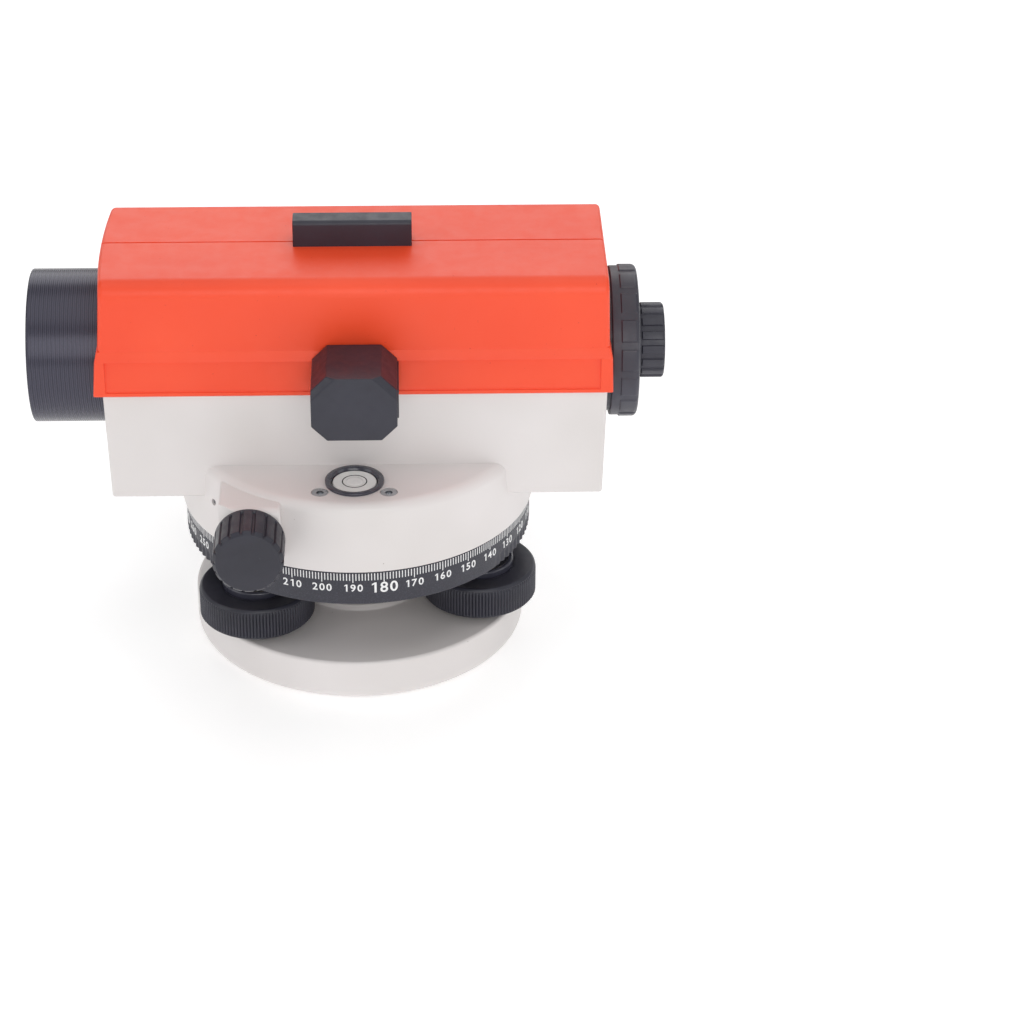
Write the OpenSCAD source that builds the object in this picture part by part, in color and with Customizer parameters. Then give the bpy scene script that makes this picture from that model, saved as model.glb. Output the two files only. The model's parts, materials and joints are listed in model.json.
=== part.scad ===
// Automatic level for surveying: a telescope on a turning upper part, over a
// horizontal circle and a three-screw levelling base.
// Origin: centre of the base plate's underside, on the tripod thread's axis.
// +X points to the eyepiece, +Z up, and the bubble is on the -Y side.

/* [Levelling base] */
// Radius of the base plate
base_r = 53; // [52:0.5:56]
// Thickness of the base plate
base_h = 14; // [13:0.5:16]
// Distance from the vertical axis to each foot screw
foot_radius = 41.35; // [41:0.05:42]
// Radius of a foot screw's knob
foot_knob_r = 18.2; // [16:0.1:18.6]
// Pitch of the foot screws' thread
foot_pitch = 0.75; // [0.5:0.05:0.75]

/* [Horizontal circle] */
// Outer radius of the graduated circle
circle_r = 55; // [54:0.5:55.5]
// Height of the graduated wall
circle_h = 11.4; // [9:0.1:12]

/* [Housing] */
// Radius of the turret's lower edge
turret_r = 56; // [56:0.5:58]
// Height of the flat ledge beside the body
ledge_z = 72; // [72:0.5:73]
// Height at which the housing ends and the cover begins
split_z = 96.8; // [96:0.1:97]
// Half of the housing's depth
body_half_y = 29.5; // [29:0.1:30.5]
// Half of the cover's length at its band
band_half_x = 79.2; // [79:0.1:79.3]
// Height of the cover's flat top
cover_top_z = 134.2; // [133:0.1:137]

/* [Telescope] */
// Height of the line of sight
axis_z = 99.25; // [99:0.05:99.5]
// Outer radius of the objective barrel
barrel_r = 23.84; // [23.5:0.02:23.84]
// Front end of the objective barrel
barrel_x = -99.84; // [-104:0.02:-98]
// Radius of the eyepiece cover ring
eyepiece_ring_r = 23.5; // [23:0.1:24.5]
// Radius of the dioptre ring
diopter_r = 11.8; // [11:0.1:12.5]

/* [Drives] */
// Distance from the vertical axis to the fine-drive shaft
worm_x = -32; // [-32.4:0.1:-31.8]
// Height of the fine-drive shaft
worm_z = 60.9; // [60.7:0.1:61.2]
// Radius of the fine-drive knobs
fine_knob_r = 10.8; // [10:0.1:11.5]
// Radius of the focusing knob
focus_knob_r = 15; // [12:0.5:17]

/* [Hidden] */
$fn = 96;

// Colours
WHITE = [0.87, 0.86, 0.84];
ORANGE = [1.0, 0.33, 0.16];
BLACK = [0.16, 0.16, 0.18];
STEEL = [0.62, 0.63, 0.65];
BRASS = [0.78, 0.62, 0.3];
ALUMINIUM = [0.8, 0.81, 0.82];
GLASS = [0.7, 0.85, 0.9, 0.5];

// Cuts run past a face by this much
PAST = 1;
// Radial clearance of a running fit
RUN = 0.05;
// Gap between parts that pass each other
GAP = 0.3;

// Feet: a and b are the two front ones, c is at the back
FOOT_ANGLES = [-141.2, -21.2, 98.8];
BALL_Z = 9;
BALL_R = 4.5;
SEAT_R = 6.6;
SEAT_RING_R = 11.5;
SEAT_RING_Z = 12.6;
FOOT_KNOB_Z = 16.75;
FOOT_KNOB_H = 11.05;
FOOT_COLLAR_R = 11;
FOOT_COLLAR_H = 2.2;
FOOT_SHAFT_R = 4;
FOOT_SHAFT_TOP = 42.4;
ARM_Z = 33.5;
ARM_TOP = 43.5;
ARM_HALF_W = 7;
FOOT_BUSH_R = 5.8;
SEAT_SCREW_Y = 9.4;

// Tripod's 5/8 inch thread, 11 turns to the inch, in an insert in the base plate
INSERT_R = 11;
INSERT_H = 10.5;
TRIPOD_BORE_R = 6.83;
WELL_R = 20.7;
WELL_Z = 11;
WELL_LIP_R = 22.3;
WELL_LIP_H = 2;

// Centre column, from the inside out
SPINDLE_R = 7;
BUSH_R = 10;
SLEEVE_R = 14;
HUB_R = 18.9;
HUB_Z = 15.5;
SLEEVE_TOP = 64;
SLEEVE_RING_R = 16.5;
SLEEVE_RING_T = 0.8;
BUSH_Z = 20;
SPINDLE_SCREW_RADIUS = 12;
FLANGE_R = 16;
FLANGE_T = 3;

// Circle and turret
circle_top = 48.3;
circle_z = circle_top - circle_h;
WEB_Z = 45.5;
WEB_T = 1.8;
TURRET_Z = 48.8;
TURRET_WALL = 4;
CEILING_Z = 68;
WALL = 3;
TROUGH_Z = 61;
FLOOR_Z = 71;
POST_X = 60;
POST_Y = 24.5;

// Worm drive: one thread on the worm, so one tooth of the wheel a turn
WHEEL_TEETH = 100;
WHEEL_MODULE = 0.55;
wheel_r = WHEEL_TEETH * WHEEL_MODULE / 2;
worm_r = -worm_x - wheel_r;
WHEEL_T = 4.4;
BOSS_Y = 54.5;
BOSS_INNER_Y = 44;
DRIVE_SHAFT_R = 3;
DRIVE_BUSH_R = 5;

// Focusing: a rack on the lens cell over a pinion on the knob's shaft
FOCUS_X = -10;
FOCUS_Z = 90;
RACK_MODULE = 0.5;
PINION_TEETH = 12;
pinion_r = PINION_TEETH * RACK_MODULE / 2;
RACK_Y = 17.6;
RACK_T = 3.4;
FOCUS_SHAFT_R = 2;
FOCUS_BUSH_R = 5;
FOCUS_LENS_R = 11.5;
TUBE_R = 17;
TUBE_BORE = 15;

// Objective: the glass's radius, and the barrel's bore in front of it
OBJECTIVE_R = 21.4;
OBJECTIVE_BORE_R = 21.5;

// Eyepiece end
RETICLE_X = 58;
EYE_TUBE_R = 9;
EYE_LENS_R = 7.6;
EYE_SLEEVE_R = 15;
RETICLE_CELL_R = 11;
RING_FACE_X = 87.8;
DIOPTER_X = 88.1;
DIOPTER_END = 96.4;

// Circular bubble, in front of the body
BUBBLE = [-0.2, -40.2];
BUBBLE_HOUSING_R = 8.93;
BUBBLE_HOUSING_Z = 64.6;
VIAL_R = 6.85;
VIAL_Z = 67.5;
BUBBLE_SCREWS = [[-10.7, -46.3], [10.3, -46.6]];

// Small set screw low in the turret's wall
SET_SCREW_ANGLE = -142.5;
SET_SCREW_Z = 61.5;
SET_SCREW_R = 1.1;

// ---- Helpers ----

module ring(outer, inner, height) {
  difference() {
    cylinder(r = outer, h = height);
    translate([0, 0, -PAST]) cylinder(r = inner, h = height + 2 * PAST);
  }
}

// Turns a piece drawn along +Z to lie along +X on the line of sight
module on_axis(x) {
  translate([x, 0, axis_z]) rotate([0, 90, 0]) children();
}

// Turns a piece drawn along +Z to lie along +Y
module along_y(x, y, z) {
  translate([x, y, z]) rotate([-90, 0, 0]) children();
}

// Extrudes an outline drawn in X and Z, evenly to both sides of Y = 0
module side_profile(half_y) {
  rotate([90, 0, 0]) linear_extrude(2 * half_y, center = true) children();
}

// Extrudes an outline drawn in Y and Z, evenly to both sides of X = 0
module end_profile(half_x) {
  rotate([90, 0, 90]) linear_extrude(2 * half_x, center = true) children();
}

module at_foot(index) {
  rotate([0, 0, FOOT_ANGLES[index]]) translate([foot_radius, 0, 0]) children();
}

module at_feet() {
  for (index = [0:2]) at_foot(index) children();
}

// The set screw's place on the turret's surface, with +Z pointing outwards
module at_set_screw() {
  rotate([0, 0, SET_SCREW_ANGLE]) translate([turret_r - 0.4, 0, SET_SCREW_Z]) {
    rotate([0, 90, 0]) children();
  }
}

module at_posts() {
  for (side_x = [-1, 1], side_y = [-1, 1]) {
    translate([side_x * POST_X, side_y * POST_Y, 0]) children();
  }
}

// The three screws that hold the spindle's flange under the housing's floor
module at_spindle_screws() {
  for (turn = [0:2]) rotate([0, 0, 120 * turn + 30]) {
    translate([SPINDLE_SCREW_RADIUS, 0, 0]) children();
  }
}

// A disc of the given radius and height with evenly spaced grooves in its rim
module grooved_disc(radius, height, grooves, width, depth) {
  difference() {
    cylinder(r = radius, h = height);
    for (turn = [0:grooves - 1]) {
      rotate([0, 0, 360 * turn / grooves])
        translate([radius - depth, -width / 2, -PAST])
          cube([2 * depth, width, height + 2 * PAST]);
    }
  }
}

// A grooved disc with a chamfer round its far end
module grooved_knob(radius, height, grooves, width, depth, chamfer) {
  intersection() {
    grooved_disc(radius, height, grooves, width, depth);
    rotate_extrude() polygon([
      [0, 0], [radius, 0], [radius, height - chamfer], [radius - chamfer, height], [0, height]
    ]);
  }
}

// A pan-head screw with a hexagonal socket, head up, its seat at Z = 0
module socket_screw(shank_r, length, head_r, head_h) {
  difference() {
    union() {
      translate([0, 0, -length]) cylinder(r = shank_r, h = length);
      cylinder(r = head_r, h = head_h);
    }
    translate([0, 0, head_h * 0.4]) cylinder(r = head_r * 0.5, h = head_h, $fn = 6);
  }
}

// A lens on +Z between two spherical faces that bulge by the given heights
module lens(radius, thickness, bulge_low, bulge_high) {
  low_r = (radius * radius + bulge_low * bulge_low) / (2 * bulge_low);
  high_r = (radius * radius + bulge_high * bulge_high) / (2 * bulge_high);
  intersection() {
    translate([0, 0, -bulge_low]) cylinder(r = radius, h = thickness + bulge_low + bulge_high);
    translate([0, 0, low_r - bulge_low]) sphere(r = low_r);
    translate([0, 0, thickness + bulge_high - high_r]) sphere(r = high_r);
  }
}

// ---- Levelling base ----

module base_plate() {
  fillet = 3.5;
  color(WHITE) difference() {
    rotate_extrude() union() {
      square([base_r - fillet, base_h]);
      translate([0, fillet]) square([base_r, base_h - fillet]);
      translate([base_r - fillet, fillet]) circle(r = fillet);
      square([WELL_LIP_R, base_h + WELL_LIP_H]);
    }
    // Tripod insert's seat, and a lipped well that the hub dips into
    translate([0, 0, -PAST]) cylinder(r = INSERT_R, h = base_h + 2 * PAST);
    translate([0, 0, WELL_Z]) cylinder(r = WELL_R, h = base_h);
    at_feet() {
      translate([0, 0, 3.5]) cylinder(r = SEAT_R + 0.8, h = base_h);
      translate([0, 0, SEAT_RING_Z]) cylinder(r = SEAT_RING_R + 0.2, h = base_h);
      for (side = [-1, 1]) {
        translate([0, side * SEAT_SCREW_Y, 8]) cylinder(r = 1, h = base_h);
      }
    }
  }
}

module tripod_insert() {
  color(BRASS) ring(INSERT_R, TRIPOD_BORE_R, INSERT_H);
}

module seat_rings() {
  color(STEEL) at_feet() translate([0, 0, SEAT_RING_Z]) difference() {
    ring(SEAT_RING_R, 5.2, 1.2);
    for (side = [-1, 1]) {
      translate([0, side * SEAT_SCREW_Y, -PAST]) cylinder(r = 1.1, h = 1.2 + 2 * PAST);
    }
  }
}

module seat_ring_screws() {
  color(STEEL) at_feet() for (side = [-1, 1]) {
    translate([0, side * SEAT_SCREW_Y, SEAT_RING_Z + 1.2]) socket_screw(1, 4.8, 1.8, 1.2);
  }
}

module ball_seat(index) {
  color([0.9, 0.9, 0.88]) at_foot(index) difference() {
    translate([0, 0, 4.5]) cylinder(r = SEAT_R, h = 7.5);
    translate([0, 0, BALL_Z]) sphere(r = BALL_R + RUN);
    translate([0, 0, BALL_Z]) cylinder(r = 3.5, h = 10);
  }
}

module foot_screw(index) {
  color(STEEL) at_foot(index) {
    translate([0, 0, BALL_Z]) sphere(r = BALL_R);
    translate([0, 0, BALL_Z]) cylinder(r = 3, h = FOOT_KNOB_Z - BALL_Z);
    translate([0, 0, FOOT_KNOB_Z - 1]) {
      cylinder(r = FOOT_SHAFT_R, h = FOOT_SHAFT_TOP - FOOT_KNOB_Z + 1);
    }
  }
}

module foot_knob(index) {
  chamfer = 0.7;
  top = FOOT_KNOB_Z + FOOT_KNOB_H;
  color(BLACK) at_foot(index) rotate_extrude() difference() {
    polygon([
      [0, FOOT_KNOB_Z], [foot_knob_r - chamfer, FOOT_KNOB_Z],
      [foot_knob_r, FOOT_KNOB_Z + chamfer], [foot_knob_r, top - chamfer],
      [foot_knob_r - chamfer, top], [FOOT_COLLAR_R + 0.4, top],
      [FOOT_COLLAR_R, top + FOOT_COLLAR_H], [FOOT_COLLAR_R - 1.6, top + FOOT_COLLAR_H],
      [FOOT_COLLAR_R - 2, top + 0.5], [0, top + 0.5]
    ]);
    translate([-1, 0]) square([1 + FOOT_SHAFT_R, 60]);
  }
}

module ball_seat_a() { ball_seat(0); }
module ball_seat_b() { ball_seat(1); }
module ball_seat_c() { ball_seat(2); }
module foot_screw_a() { foot_screw(0); }
module foot_screw_b() { foot_screw(1); }
module foot_screw_c() { foot_screw(2); }
module foot_knob_a() { foot_knob(0); }
module foot_knob_b() { foot_knob(1); }
module foot_knob_c() { foot_knob(2); }

module tribrach() {
  arm_start = HUB_R - 3;
  arm_h = ARM_TOP - ARM_Z;
  color(WHITE) difference() {
    union() {
      translate([0, 0, HUB_Z]) cylinder(r = HUB_R, h = ARM_TOP - HUB_Z);
      translate([0, 0, ARM_TOP]) cylinder(r = 17, h = WEB_Z - GAP - ARM_TOP);
      translate([0, 0, ARM_TOP]) cylinder(r = SLEEVE_R, h = SLEEVE_TOP - ARM_TOP);
      for (angle = FOOT_ANGLES) rotate([0, 0, angle]) {
        translate([arm_start, -ARM_HALF_W, ARM_Z]) {
          cube([foot_radius - arm_start, 2 * ARM_HALF_W, arm_h]);
        }
      }
      at_feet() translate([0, 0, ARM_Z]) cylinder(r = ARM_HALF_W + 1, h = arm_h);
    }
    // Room for the retaining screw, the spindle's bush and the foot bushes
    translate([0, 0, HUB_Z - PAST]) cylinder(r = 11.5, h = BUSH_Z - HUB_Z + PAST);
    translate([0, 0, BUSH_Z]) cylinder(r = BUSH_R, h = 50);
    at_feet() translate([0, 0, ARM_Z - PAST]) cylinder(r = FOOT_BUSH_R, h = 20);
  }
}

module foot_bushes() {
  color(BRASS) at_feet() translate([0, 0, ARM_Z]) {
    ring(FOOT_BUSH_R, FOOT_SHAFT_R + RUN, ARM_TOP - ARM_Z);
  }
}

module axis_bush() {
  color(BRASS) translate([0, 0, BUSH_Z]) {
    ring(BUSH_R, SPINDLE_R + RUN, SLEEVE_TOP + 0.7 - BUSH_Z);
  }
}

module sleeve_rings() {
  // One keeps the circle down, two keep the worm wheel at its height
  color(STEEL) {
    translate([0, 0, WEB_Z + WEB_T + GAP]) ring(SLEEVE_RING_R, SLEEVE_R, SLEEVE_RING_T);
    translate([0, 0, worm_z - WHEEL_T / 2 - GAP - SLEEVE_RING_T]) {
      ring(SLEEVE_RING_R, SLEEVE_R, SLEEVE_RING_T);
    }
    translate([0, 0, worm_z + WHEEL_T / 2 + GAP]) {
      ring(SLEEVE_RING_R, SLEEVE_R, SLEEVE_TOP - worm_z - WHEEL_T / 2 - GAP);
    }
  }
}

module horizontal_circle() {
  wall = 2.5;
  color(BLACK) union() {
    translate([0, 0, circle_z]) ring(circle_r, circle_r - wall, circle_h);
    translate([0, 0, WEB_Z]) ring(circle_r - wall / 2, SLEEVE_R + RUN, WEB_T);
  }
}

// ---- Housing and vertical axis ----

module turret_outline() {
  fillet = 3.5;
  top_r = turret_r - 1;
  polygon([
    [0, TURRET_Z], [turret_r, TURRET_Z],
    [top_r, ledge_z - fillet], [0, ledge_z - fillet]
  ]);
  translate([0, TURRET_Z]) square([top_r - fillet, ledge_z - TURRET_Z]);
  translate([top_r - fillet, ledge_z - fillet]) circle(r = fillet);
}

module trough_outline(inset, bottom, top) {
  polygon([
    [-75.5 + inset, bottom], [76.5 - inset, bottom],
    [77.5 - inset, top], [-76.5 + inset, top]
  ]);
}

// Fine-drive bosses on both sides of the turret, a little lower than its ledge, rounded
// along their top edges and towards the turret's curve
module drive_bosses() {
  half_w = 9.5;
  fillet = 3;
  bottom = 52;
  top = ledge_z - 1.6;
  intersection() {
    translate([worm_x, 0, 0]) end_profile(half_w) union() {
      translate([-BOSS_Y, bottom]) square([2 * BOSS_Y, top - bottom - fillet]);
      translate([fillet - BOSS_Y, bottom]) square([2 * (BOSS_Y - fillet), top - bottom]);
      for (side = [-1, 1]) {
        translate([side * (BOSS_Y - fillet), top - fillet]) circle(r = fillet);
      }
    }
    cylinder(r = turret_r + 9, h = 100);
  }
}

// Rib that carries a tube of the given radius
module saddle(x, radius, floor_z) {
  difference() {
    translate([x - 2, -19, floor_z]) cube([4, 38, 90 - floor_z]);
    translate([x - 3, 0, axis_z]) rotate([0, 90, 0]) cylinder(r = radius, h = 6);
  }
}

module housing_shell() {
  difference() {
    union() {
      rotate_extrude() turret_outline();
      side_profile(body_half_y) trough_outline(0, TROUGH_Z, split_z);
      drive_bosses();
    }
    // Turret's chamber, open below
    translate([0, 0, TURRET_Z - PAST]) {
      cylinder(r = turret_r - TURRET_WALL, h = CEILING_Z - TURRET_Z + PAST);
    }
    // Trough, with a higher floor over the turret
    difference() {
      side_profile(body_half_y - WALL) trough_outline(WALL, TROUGH_Z + WALL, split_z + PAST);
      cylinder(r = turret_r, h = FLOOR_Z);
    }
  }
}

module housing() {
  color(WHITE) difference() {
    union() {
      housing_shell();
      saddle(-50, TUBE_R, FLOOR_Z - 1);
      saddle(50, EYE_SLEEVE_R, FLOOR_Z - 1);
      at_posts() translate([0, 0, TROUGH_Z + 1]) cylinder(r = 4, h = split_z - TROUGH_Z - 1);
    }
    on_axis(-85) cylinder(r = 24, h = 15);
    on_axis(70) cylinder(r = 22.4, h = 15);
    at_posts() {
      translate([0, 0, TROUGH_Z - PAST]) cylinder(r = 1.6, h = 60);
      translate([0, 0, TROUGH_Z - PAST]) cylinder(r = 3, h = 3 + PAST);
    }
    // Fine-drive bearings and focus bush
    along_y(worm_x, -70, worm_z) cylinder(r = DRIVE_BUSH_R, h = 140);
    along_y(FOCUS_X, 20, FOCUS_Z) cylinder(r = FOCUS_BUSH_R, h = 20);
    // Bubble, its screws, and the small set screw beside the drive boss
    translate([BUBBLE[0], BUBBLE[1], 60]) cylinder(r = 9.1, h = 20);
    for (spot = BUBBLE_SCREWS) translate([spot[0], spot[1], 0]) {
      translate([0, 0, 60]) cylinder(r = 1.3, h = 20);
      translate([0, 0, ledge_z - 2]) cylinder(r = 2.7, h = 5);
    }
    at_set_screw() translate([0, 0, -10]) cylinder(r = SET_SCREW_R, h = 20);
    at_spindle_screws() translate([0, 0, 60]) cylinder(r = 1.3, h = 20);
  }
}

module turret_plate() {
  color(ALUMINIUM) translate([0, 0, TURRET_Z]) difference() {
    ring(turret_r - TURRET_WALL, 19, 1.6);
    for (turn = [0:5]) rotate([0, 0, 60 * turn + 10]) {
      translate([36, 0, -PAST]) cylinder(r = 4, h = 5);
    }
  }
}

module vertical_axis() {
  flange_z = CEILING_Z - FLANGE_T;
  color(STEEL) difference() {
    union() {
      translate([0, 0, BUSH_Z - 0.3]) cylinder(r = SPINDLE_R, h = CEILING_Z - BUSH_Z + 0.3);
      translate([0, 0, flange_z]) cylinder(r = FLANGE_R, h = FLANGE_T);
    }
    translate([0, 0, 10]) cylinder(r = 2, h = 25);
    at_spindle_screws() translate([0, 0, flange_z - PAST]) cylinder(r = 1.1, h = 10);
  }
}

module axis_retainer() {
  color(STEEL) {
    translate([0, 0, BUSH_Z - 1.3]) ring(9.5, 2, 1);
    translate([0, 0, 10 + BUSH_Z - 0.3]) mirror([0, 0, 1]) {
      cylinder(r = 2, h = 11);
      translate([0, 0, 11]) cylinder(r = 4, h = 2);
    }
  }
}

module housing_screws() {
  color(STEEL) {
    at_spindle_screws() translate([0, 0, FLOOR_Z]) socket_screw(1.1, 6, 2.1, 1.4);
    // Set screw in the turret's wall
    at_set_screw() translate([0, 0, -2.8]) difference() {
      cylinder(r = SET_SCREW_R, h = 2);
      translate([0, 0, 1]) cylinder(r = SET_SCREW_R / 2, h = 2, $fn = 6);
    }
  }
}

// ---- Fine drive ----

module worm_bearings() {
  color(BRASS) for (y = [-BOSS_Y, BOSS_INNER_Y]) along_y(worm_x, y, worm_z) {
    ring(DRIVE_BUSH_R, DRIVE_SHAFT_R + RUN, BOSS_Y - BOSS_INNER_Y);
  }
}

module worm_shaft() {
  pitch = PI * WHEEL_MODULE;
  turns = 4;
  root_r = worm_r - 0.62;
  color(STEEL) along_y(worm_x, 0, worm_z) {
    translate([0, 0, -67.5]) cylinder(r = DRIVE_SHAFT_R, h = 135);
    translate([0, 0, -8]) cylinder(r = root_r, h = 16);
    // A gap of the thread faces the wheel, where a tooth points at the worm
    translate([0, 0, -turns * pitch / 2]) rotate([0, 0, 180]) {
      linear_extrude(turns * pitch, twist = -360 * turns, slices = 18 * turns, $fn = 12) {
        thread_section(root_r);
      }
    }
  }
}

// The worm's thread cut square to its shaft: an ear that stands out on one side
module thread_section(root_r) {
  top_r = worm_r + 0.5;
  polygon([for (a = [-75:25:75]) let (
    radius = abs(a) > 60 ? root_r - 0.4 : (abs(a) > 40 ? worm_r : top_r)
  ) [radius * cos(a), radius * sin(a)]]);
}

module fine_knobs() {
  length = 14.5;
  color(BLACK) for (side = [-1, 1]) {
    translate([worm_x, side * (BOSS_Y + 0.5), worm_z]) rotate([-90 * side, 0, 0]) difference() {
      grooved_knob(fine_knob_r, length, 16, 1.3, 0.8, 1.6);
      translate([0, 0, -PAST]) cylinder(r = DRIVE_SHAFT_R, h = length - 2 + PAST);
    }
  }
}

// Outline of a gear with straight-sided teeth, one of them on +X
module gear_outline(teeth, tooth_module) {
  step = 360 / teeth;
  pitch_r = teeth * tooth_module / 2;
  root_r = pitch_r - 1.15 * tooth_module;
  tip_r = pitch_r + 0.85 * tooth_module;
  polygon([for (tooth = [0:teeth - 1], corner = [0:3]) let (
    offset_a = [-0.27, -0.11, 0.11, 0.27][corner],
    radius = corner == 0 || corner == 3 ? root_r : tip_r,
    angle = (tooth + offset_a) * step
  ) [radius * cos(angle), radius * sin(angle)]]);
}

module worm_wheel() {
  color(BRASS) translate([0, 0, worm_z - WHEEL_T / 2]) difference() {
    linear_extrude(WHEEL_T) gear_outline(WHEEL_TEETH, WHEEL_MODULE);
    translate([0, 0, -PAST]) cylinder(r = SLEEVE_R + RUN, h = WHEEL_T + 2 * PAST);
  }
}

// ---- Circular bubble and its prism ----

module bubble_housing() {
  color(BLACK) difference() {
    union() {
      translate([BUBBLE[0], BUBBLE[1], BUBBLE_HOUSING_Z]) {
        cylinder(r = BUBBLE_HOUSING_R, h = ledge_z + 0.9 - BUBBLE_HOUSING_Z);
      }
      translate([-13.4, -49.4, BUBBLE_HOUSING_Z]) cube([26.8, 8, 1.6]);
    }
    translate([BUBBLE[0], BUBBLE[1], VIAL_Z]) cylinder(r = VIAL_R, h = 20);
    for (spot = BUBBLE_SCREWS) translate([spot[0], spot[1], 60]) cylinder(r = 1.2, h = 10);
  }
}

module bubble_vial() {
  color(GLASS) translate([BUBBLE[0], BUBBLE[1], VIAL_Z]) cylinder(r = VIAL_R, h = 5);
}

module bubble_screws() {
  color(STEEL) for (spot = BUBBLE_SCREWS) translate([spot[0], spot[1], ledge_z - 2]) {
    socket_screw(1.2, 6, 2.5, 1.8);
  }
}

PRISM_BACK = -30.5;
PRISM_FRONT = -53.1;
PRISM_X = [-12.5, 13.3];
PRISM_Z = [93.5, 114.3];

PRISM_SCREW_X = [-6, 6.8];
PRISM_SCREW_Z = 111.6;

module prism_housing() {
  cut = 4.7;
  bevel = 2.6;
  x0 = PRISM_X[0];
  x1 = PRISM_X[1];
  z0 = PRISM_Z[0];
  z1 = PRISM_Z[1];
  color(BLACK) difference() {
    translate([0, PRISM_BACK, 0]) rotate([90, 0, 0]) {
      linear_extrude(PRISM_BACK - PRISM_FRONT) polygon([
        [x0 + cut, z0], [x1 - cut, z0], [x1, z0 + cut], [x1, z1 - cut],
        [x1 - cut, z1], [x0 + cut, z1], [x0, z1 - cut], [x0, z0 + cut]
      ]);
    }
    // Bevels at the front ends of the two upper corner faces
    for (side = [-1, 1]) {
      translate([side < 0 ? x0 + cut / 2 : x1 - cut / 2, PRISM_FRONT, z1 - cut / 2])
        rotate([0, 45 * side, 0]) rotate([45, 0, 0])
          translate([0, 0, 10 - bevel * sin(45)]) cube(20, center = true);
    }
    // Chamber over the bubble, open below, with a window towards the eyepiece
    translate([-8, -50.6, z0 - PAST]) cube([17, 17.6, 16 + PAST]);
    translate([5, -48.6, z0 + 5.5]) cube([20, 13.6, 9]);
    for (x = PRISM_SCREW_X) along_y(x, -36.5, PRISM_SCREW_Z) cylinder(r = 1, h = 10);
  }
}

module bubble_prism() {
  side = 13.5;
  color(GLASS) translate([-4.5, 0, 96]) rotate([90, 0, 0]) translate([0, 0, 35.4]) {
    linear_extrude(13) polygon([[0, 0], [side, 0], [side, side]]);
  }
}

module prism_screws() {
  color(STEEL) for (x = PRISM_SCREW_X) along_y(x, 2.5 - body_half_y, PRISM_SCREW_Z) {
    socket_screw(1, 9, 1.9, 1.4);
  }
}

// ---- Cover ----

BAND_Y = body_half_y + 1;

module cover_end_outline(inset) {
  shoulder = 5 - inset / 2;
  half = body_half_y - inset;
  top = cover_top_z - inset;
  translate([-half, split_z - 2]) square([2 * half, top - shoulder - split_z + 2]);
  translate([-half + shoulder, split_z]) square([2 * (half - shoulder), top - split_z]);
  for (side = [-1, 1]) translate([side * (half - shoulder), top - shoulder]) circle(r = shoulder);
}

module cover_side_outline(inset) {
  polygon([
    [-78.6 + inset, split_z - 2], [78.4 - inset, split_z - 2],
    [77.3 - inset, cover_top_z + 1], [-75.6 + inset, cover_top_z + 1]
  ]);
}

// Band round the cover's foot, with ends that lean in and a sloping top
module cover_band() {
  slope_z = split_z + 11.8;
  top = split_z + 15;
  intersection() {
    end_profile(90) polygon([
      [-BAND_Y, split_z], [BAND_Y, split_z], [BAND_Y, slope_z],
      [body_half_y, top], [-body_half_y, top], [-BAND_Y, slope_z]
    ]);
    side_profile(40) polygon([
      [-band_half_x, split_z], [band_half_x, split_z], [band_half_x - 0.4, slope_z],
      [band_half_x - 1.2, top], [1.6 - band_half_x, top], [0.9 - band_half_x, slope_z]
    ]);
  }
}

module cover_form(inset) {
  intersection() {
    end_profile(90) cover_end_outline(inset);
    side_profile(40) cover_side_outline(inset);
  }
}

module cover() {
  inset = 2.5;
  color(ORANGE) difference() {
    union() {
      difference() {
        union() {
          cover_form(0);
          cover_band();
        }
        cover_form(inset);
        // Nothing of the cover hangs below the split
        translate([-100, -50, split_z - 20]) cube([200, 100, 20]);
      }
      at_posts() translate([0, 0, split_z]) cylinder(r = 3.2, h = 12);
    }
    // Sunk panels along both sides, and the seam along the top
    for (side = [-1, 1]) {
      translate([-74.9, side * BAND_Y - 0.6, split_z + 1.8]) cube([149.7, 1.2, 9.4]);
    }
    translate([-100, -0.25, cover_top_z - 0.4]) cube([200, 0.5, 1]);
    on_axis(-90) cylinder(r = 24, h = 20);
    on_axis(70) cylinder(r = 22.4, h = 20);
    at_posts() translate([0, 0, split_z - PAST]) cylinder(r = 1.5, h = 10);
    for (x = PRISM_SCREW_X) along_y(x, -40, PRISM_SCREW_Z) cylinder(r = 1.1, h = 20);
  }
}

module cover_screws() {
  color(STEEL) at_posts() translate([0, 0, TROUGH_Z + 3]) mirror([0, 0, 1]) {
    socket_screw(1.5, 40, 2.8, 2.4);
  }
}

module sight() {
  half_w = 3.85;
  top = 142.5;
  color(BLACK) difference() {
    translate([-0.1, 0, 0]) end_profile(18.2) union() {
      translate([-half_w, cover_top_z]) square([2 * half_w, top - cover_top_z - 1]);
      translate([-half_w + 1, cover_top_z]) square([2 * half_w - 2, top - cover_top_z]);
      for (side = [-1, 1]) translate([side * (half_w - 1), top - 1]) circle(r = 1);
    }
    translate([-30, 0, 138.6]) rotate([0, 90, 0]) cylinder(r = 2.1, h = 60);
  }
}

// ---- Telescope ----

BARREL_END = -66;

module objective_barrel() {
  color(BLACK) on_axis(barrel_x) difference() {
    cylinder(r = barrel_r, h = BARREL_END - barrel_x);
    // Recess in front of the glass, the glass's seat, and the tapering light path
    translate([0, 0, -PAST]) cylinder(r = OBJECTIVE_BORE_R, h = 14 + PAST);
    translate([0, 0, 10]) cylinder(r = 19.5, h = 18);
    translate([0, 0, 10]) cylinder(r = TUBE_R, h = 40);
  }
}

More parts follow.
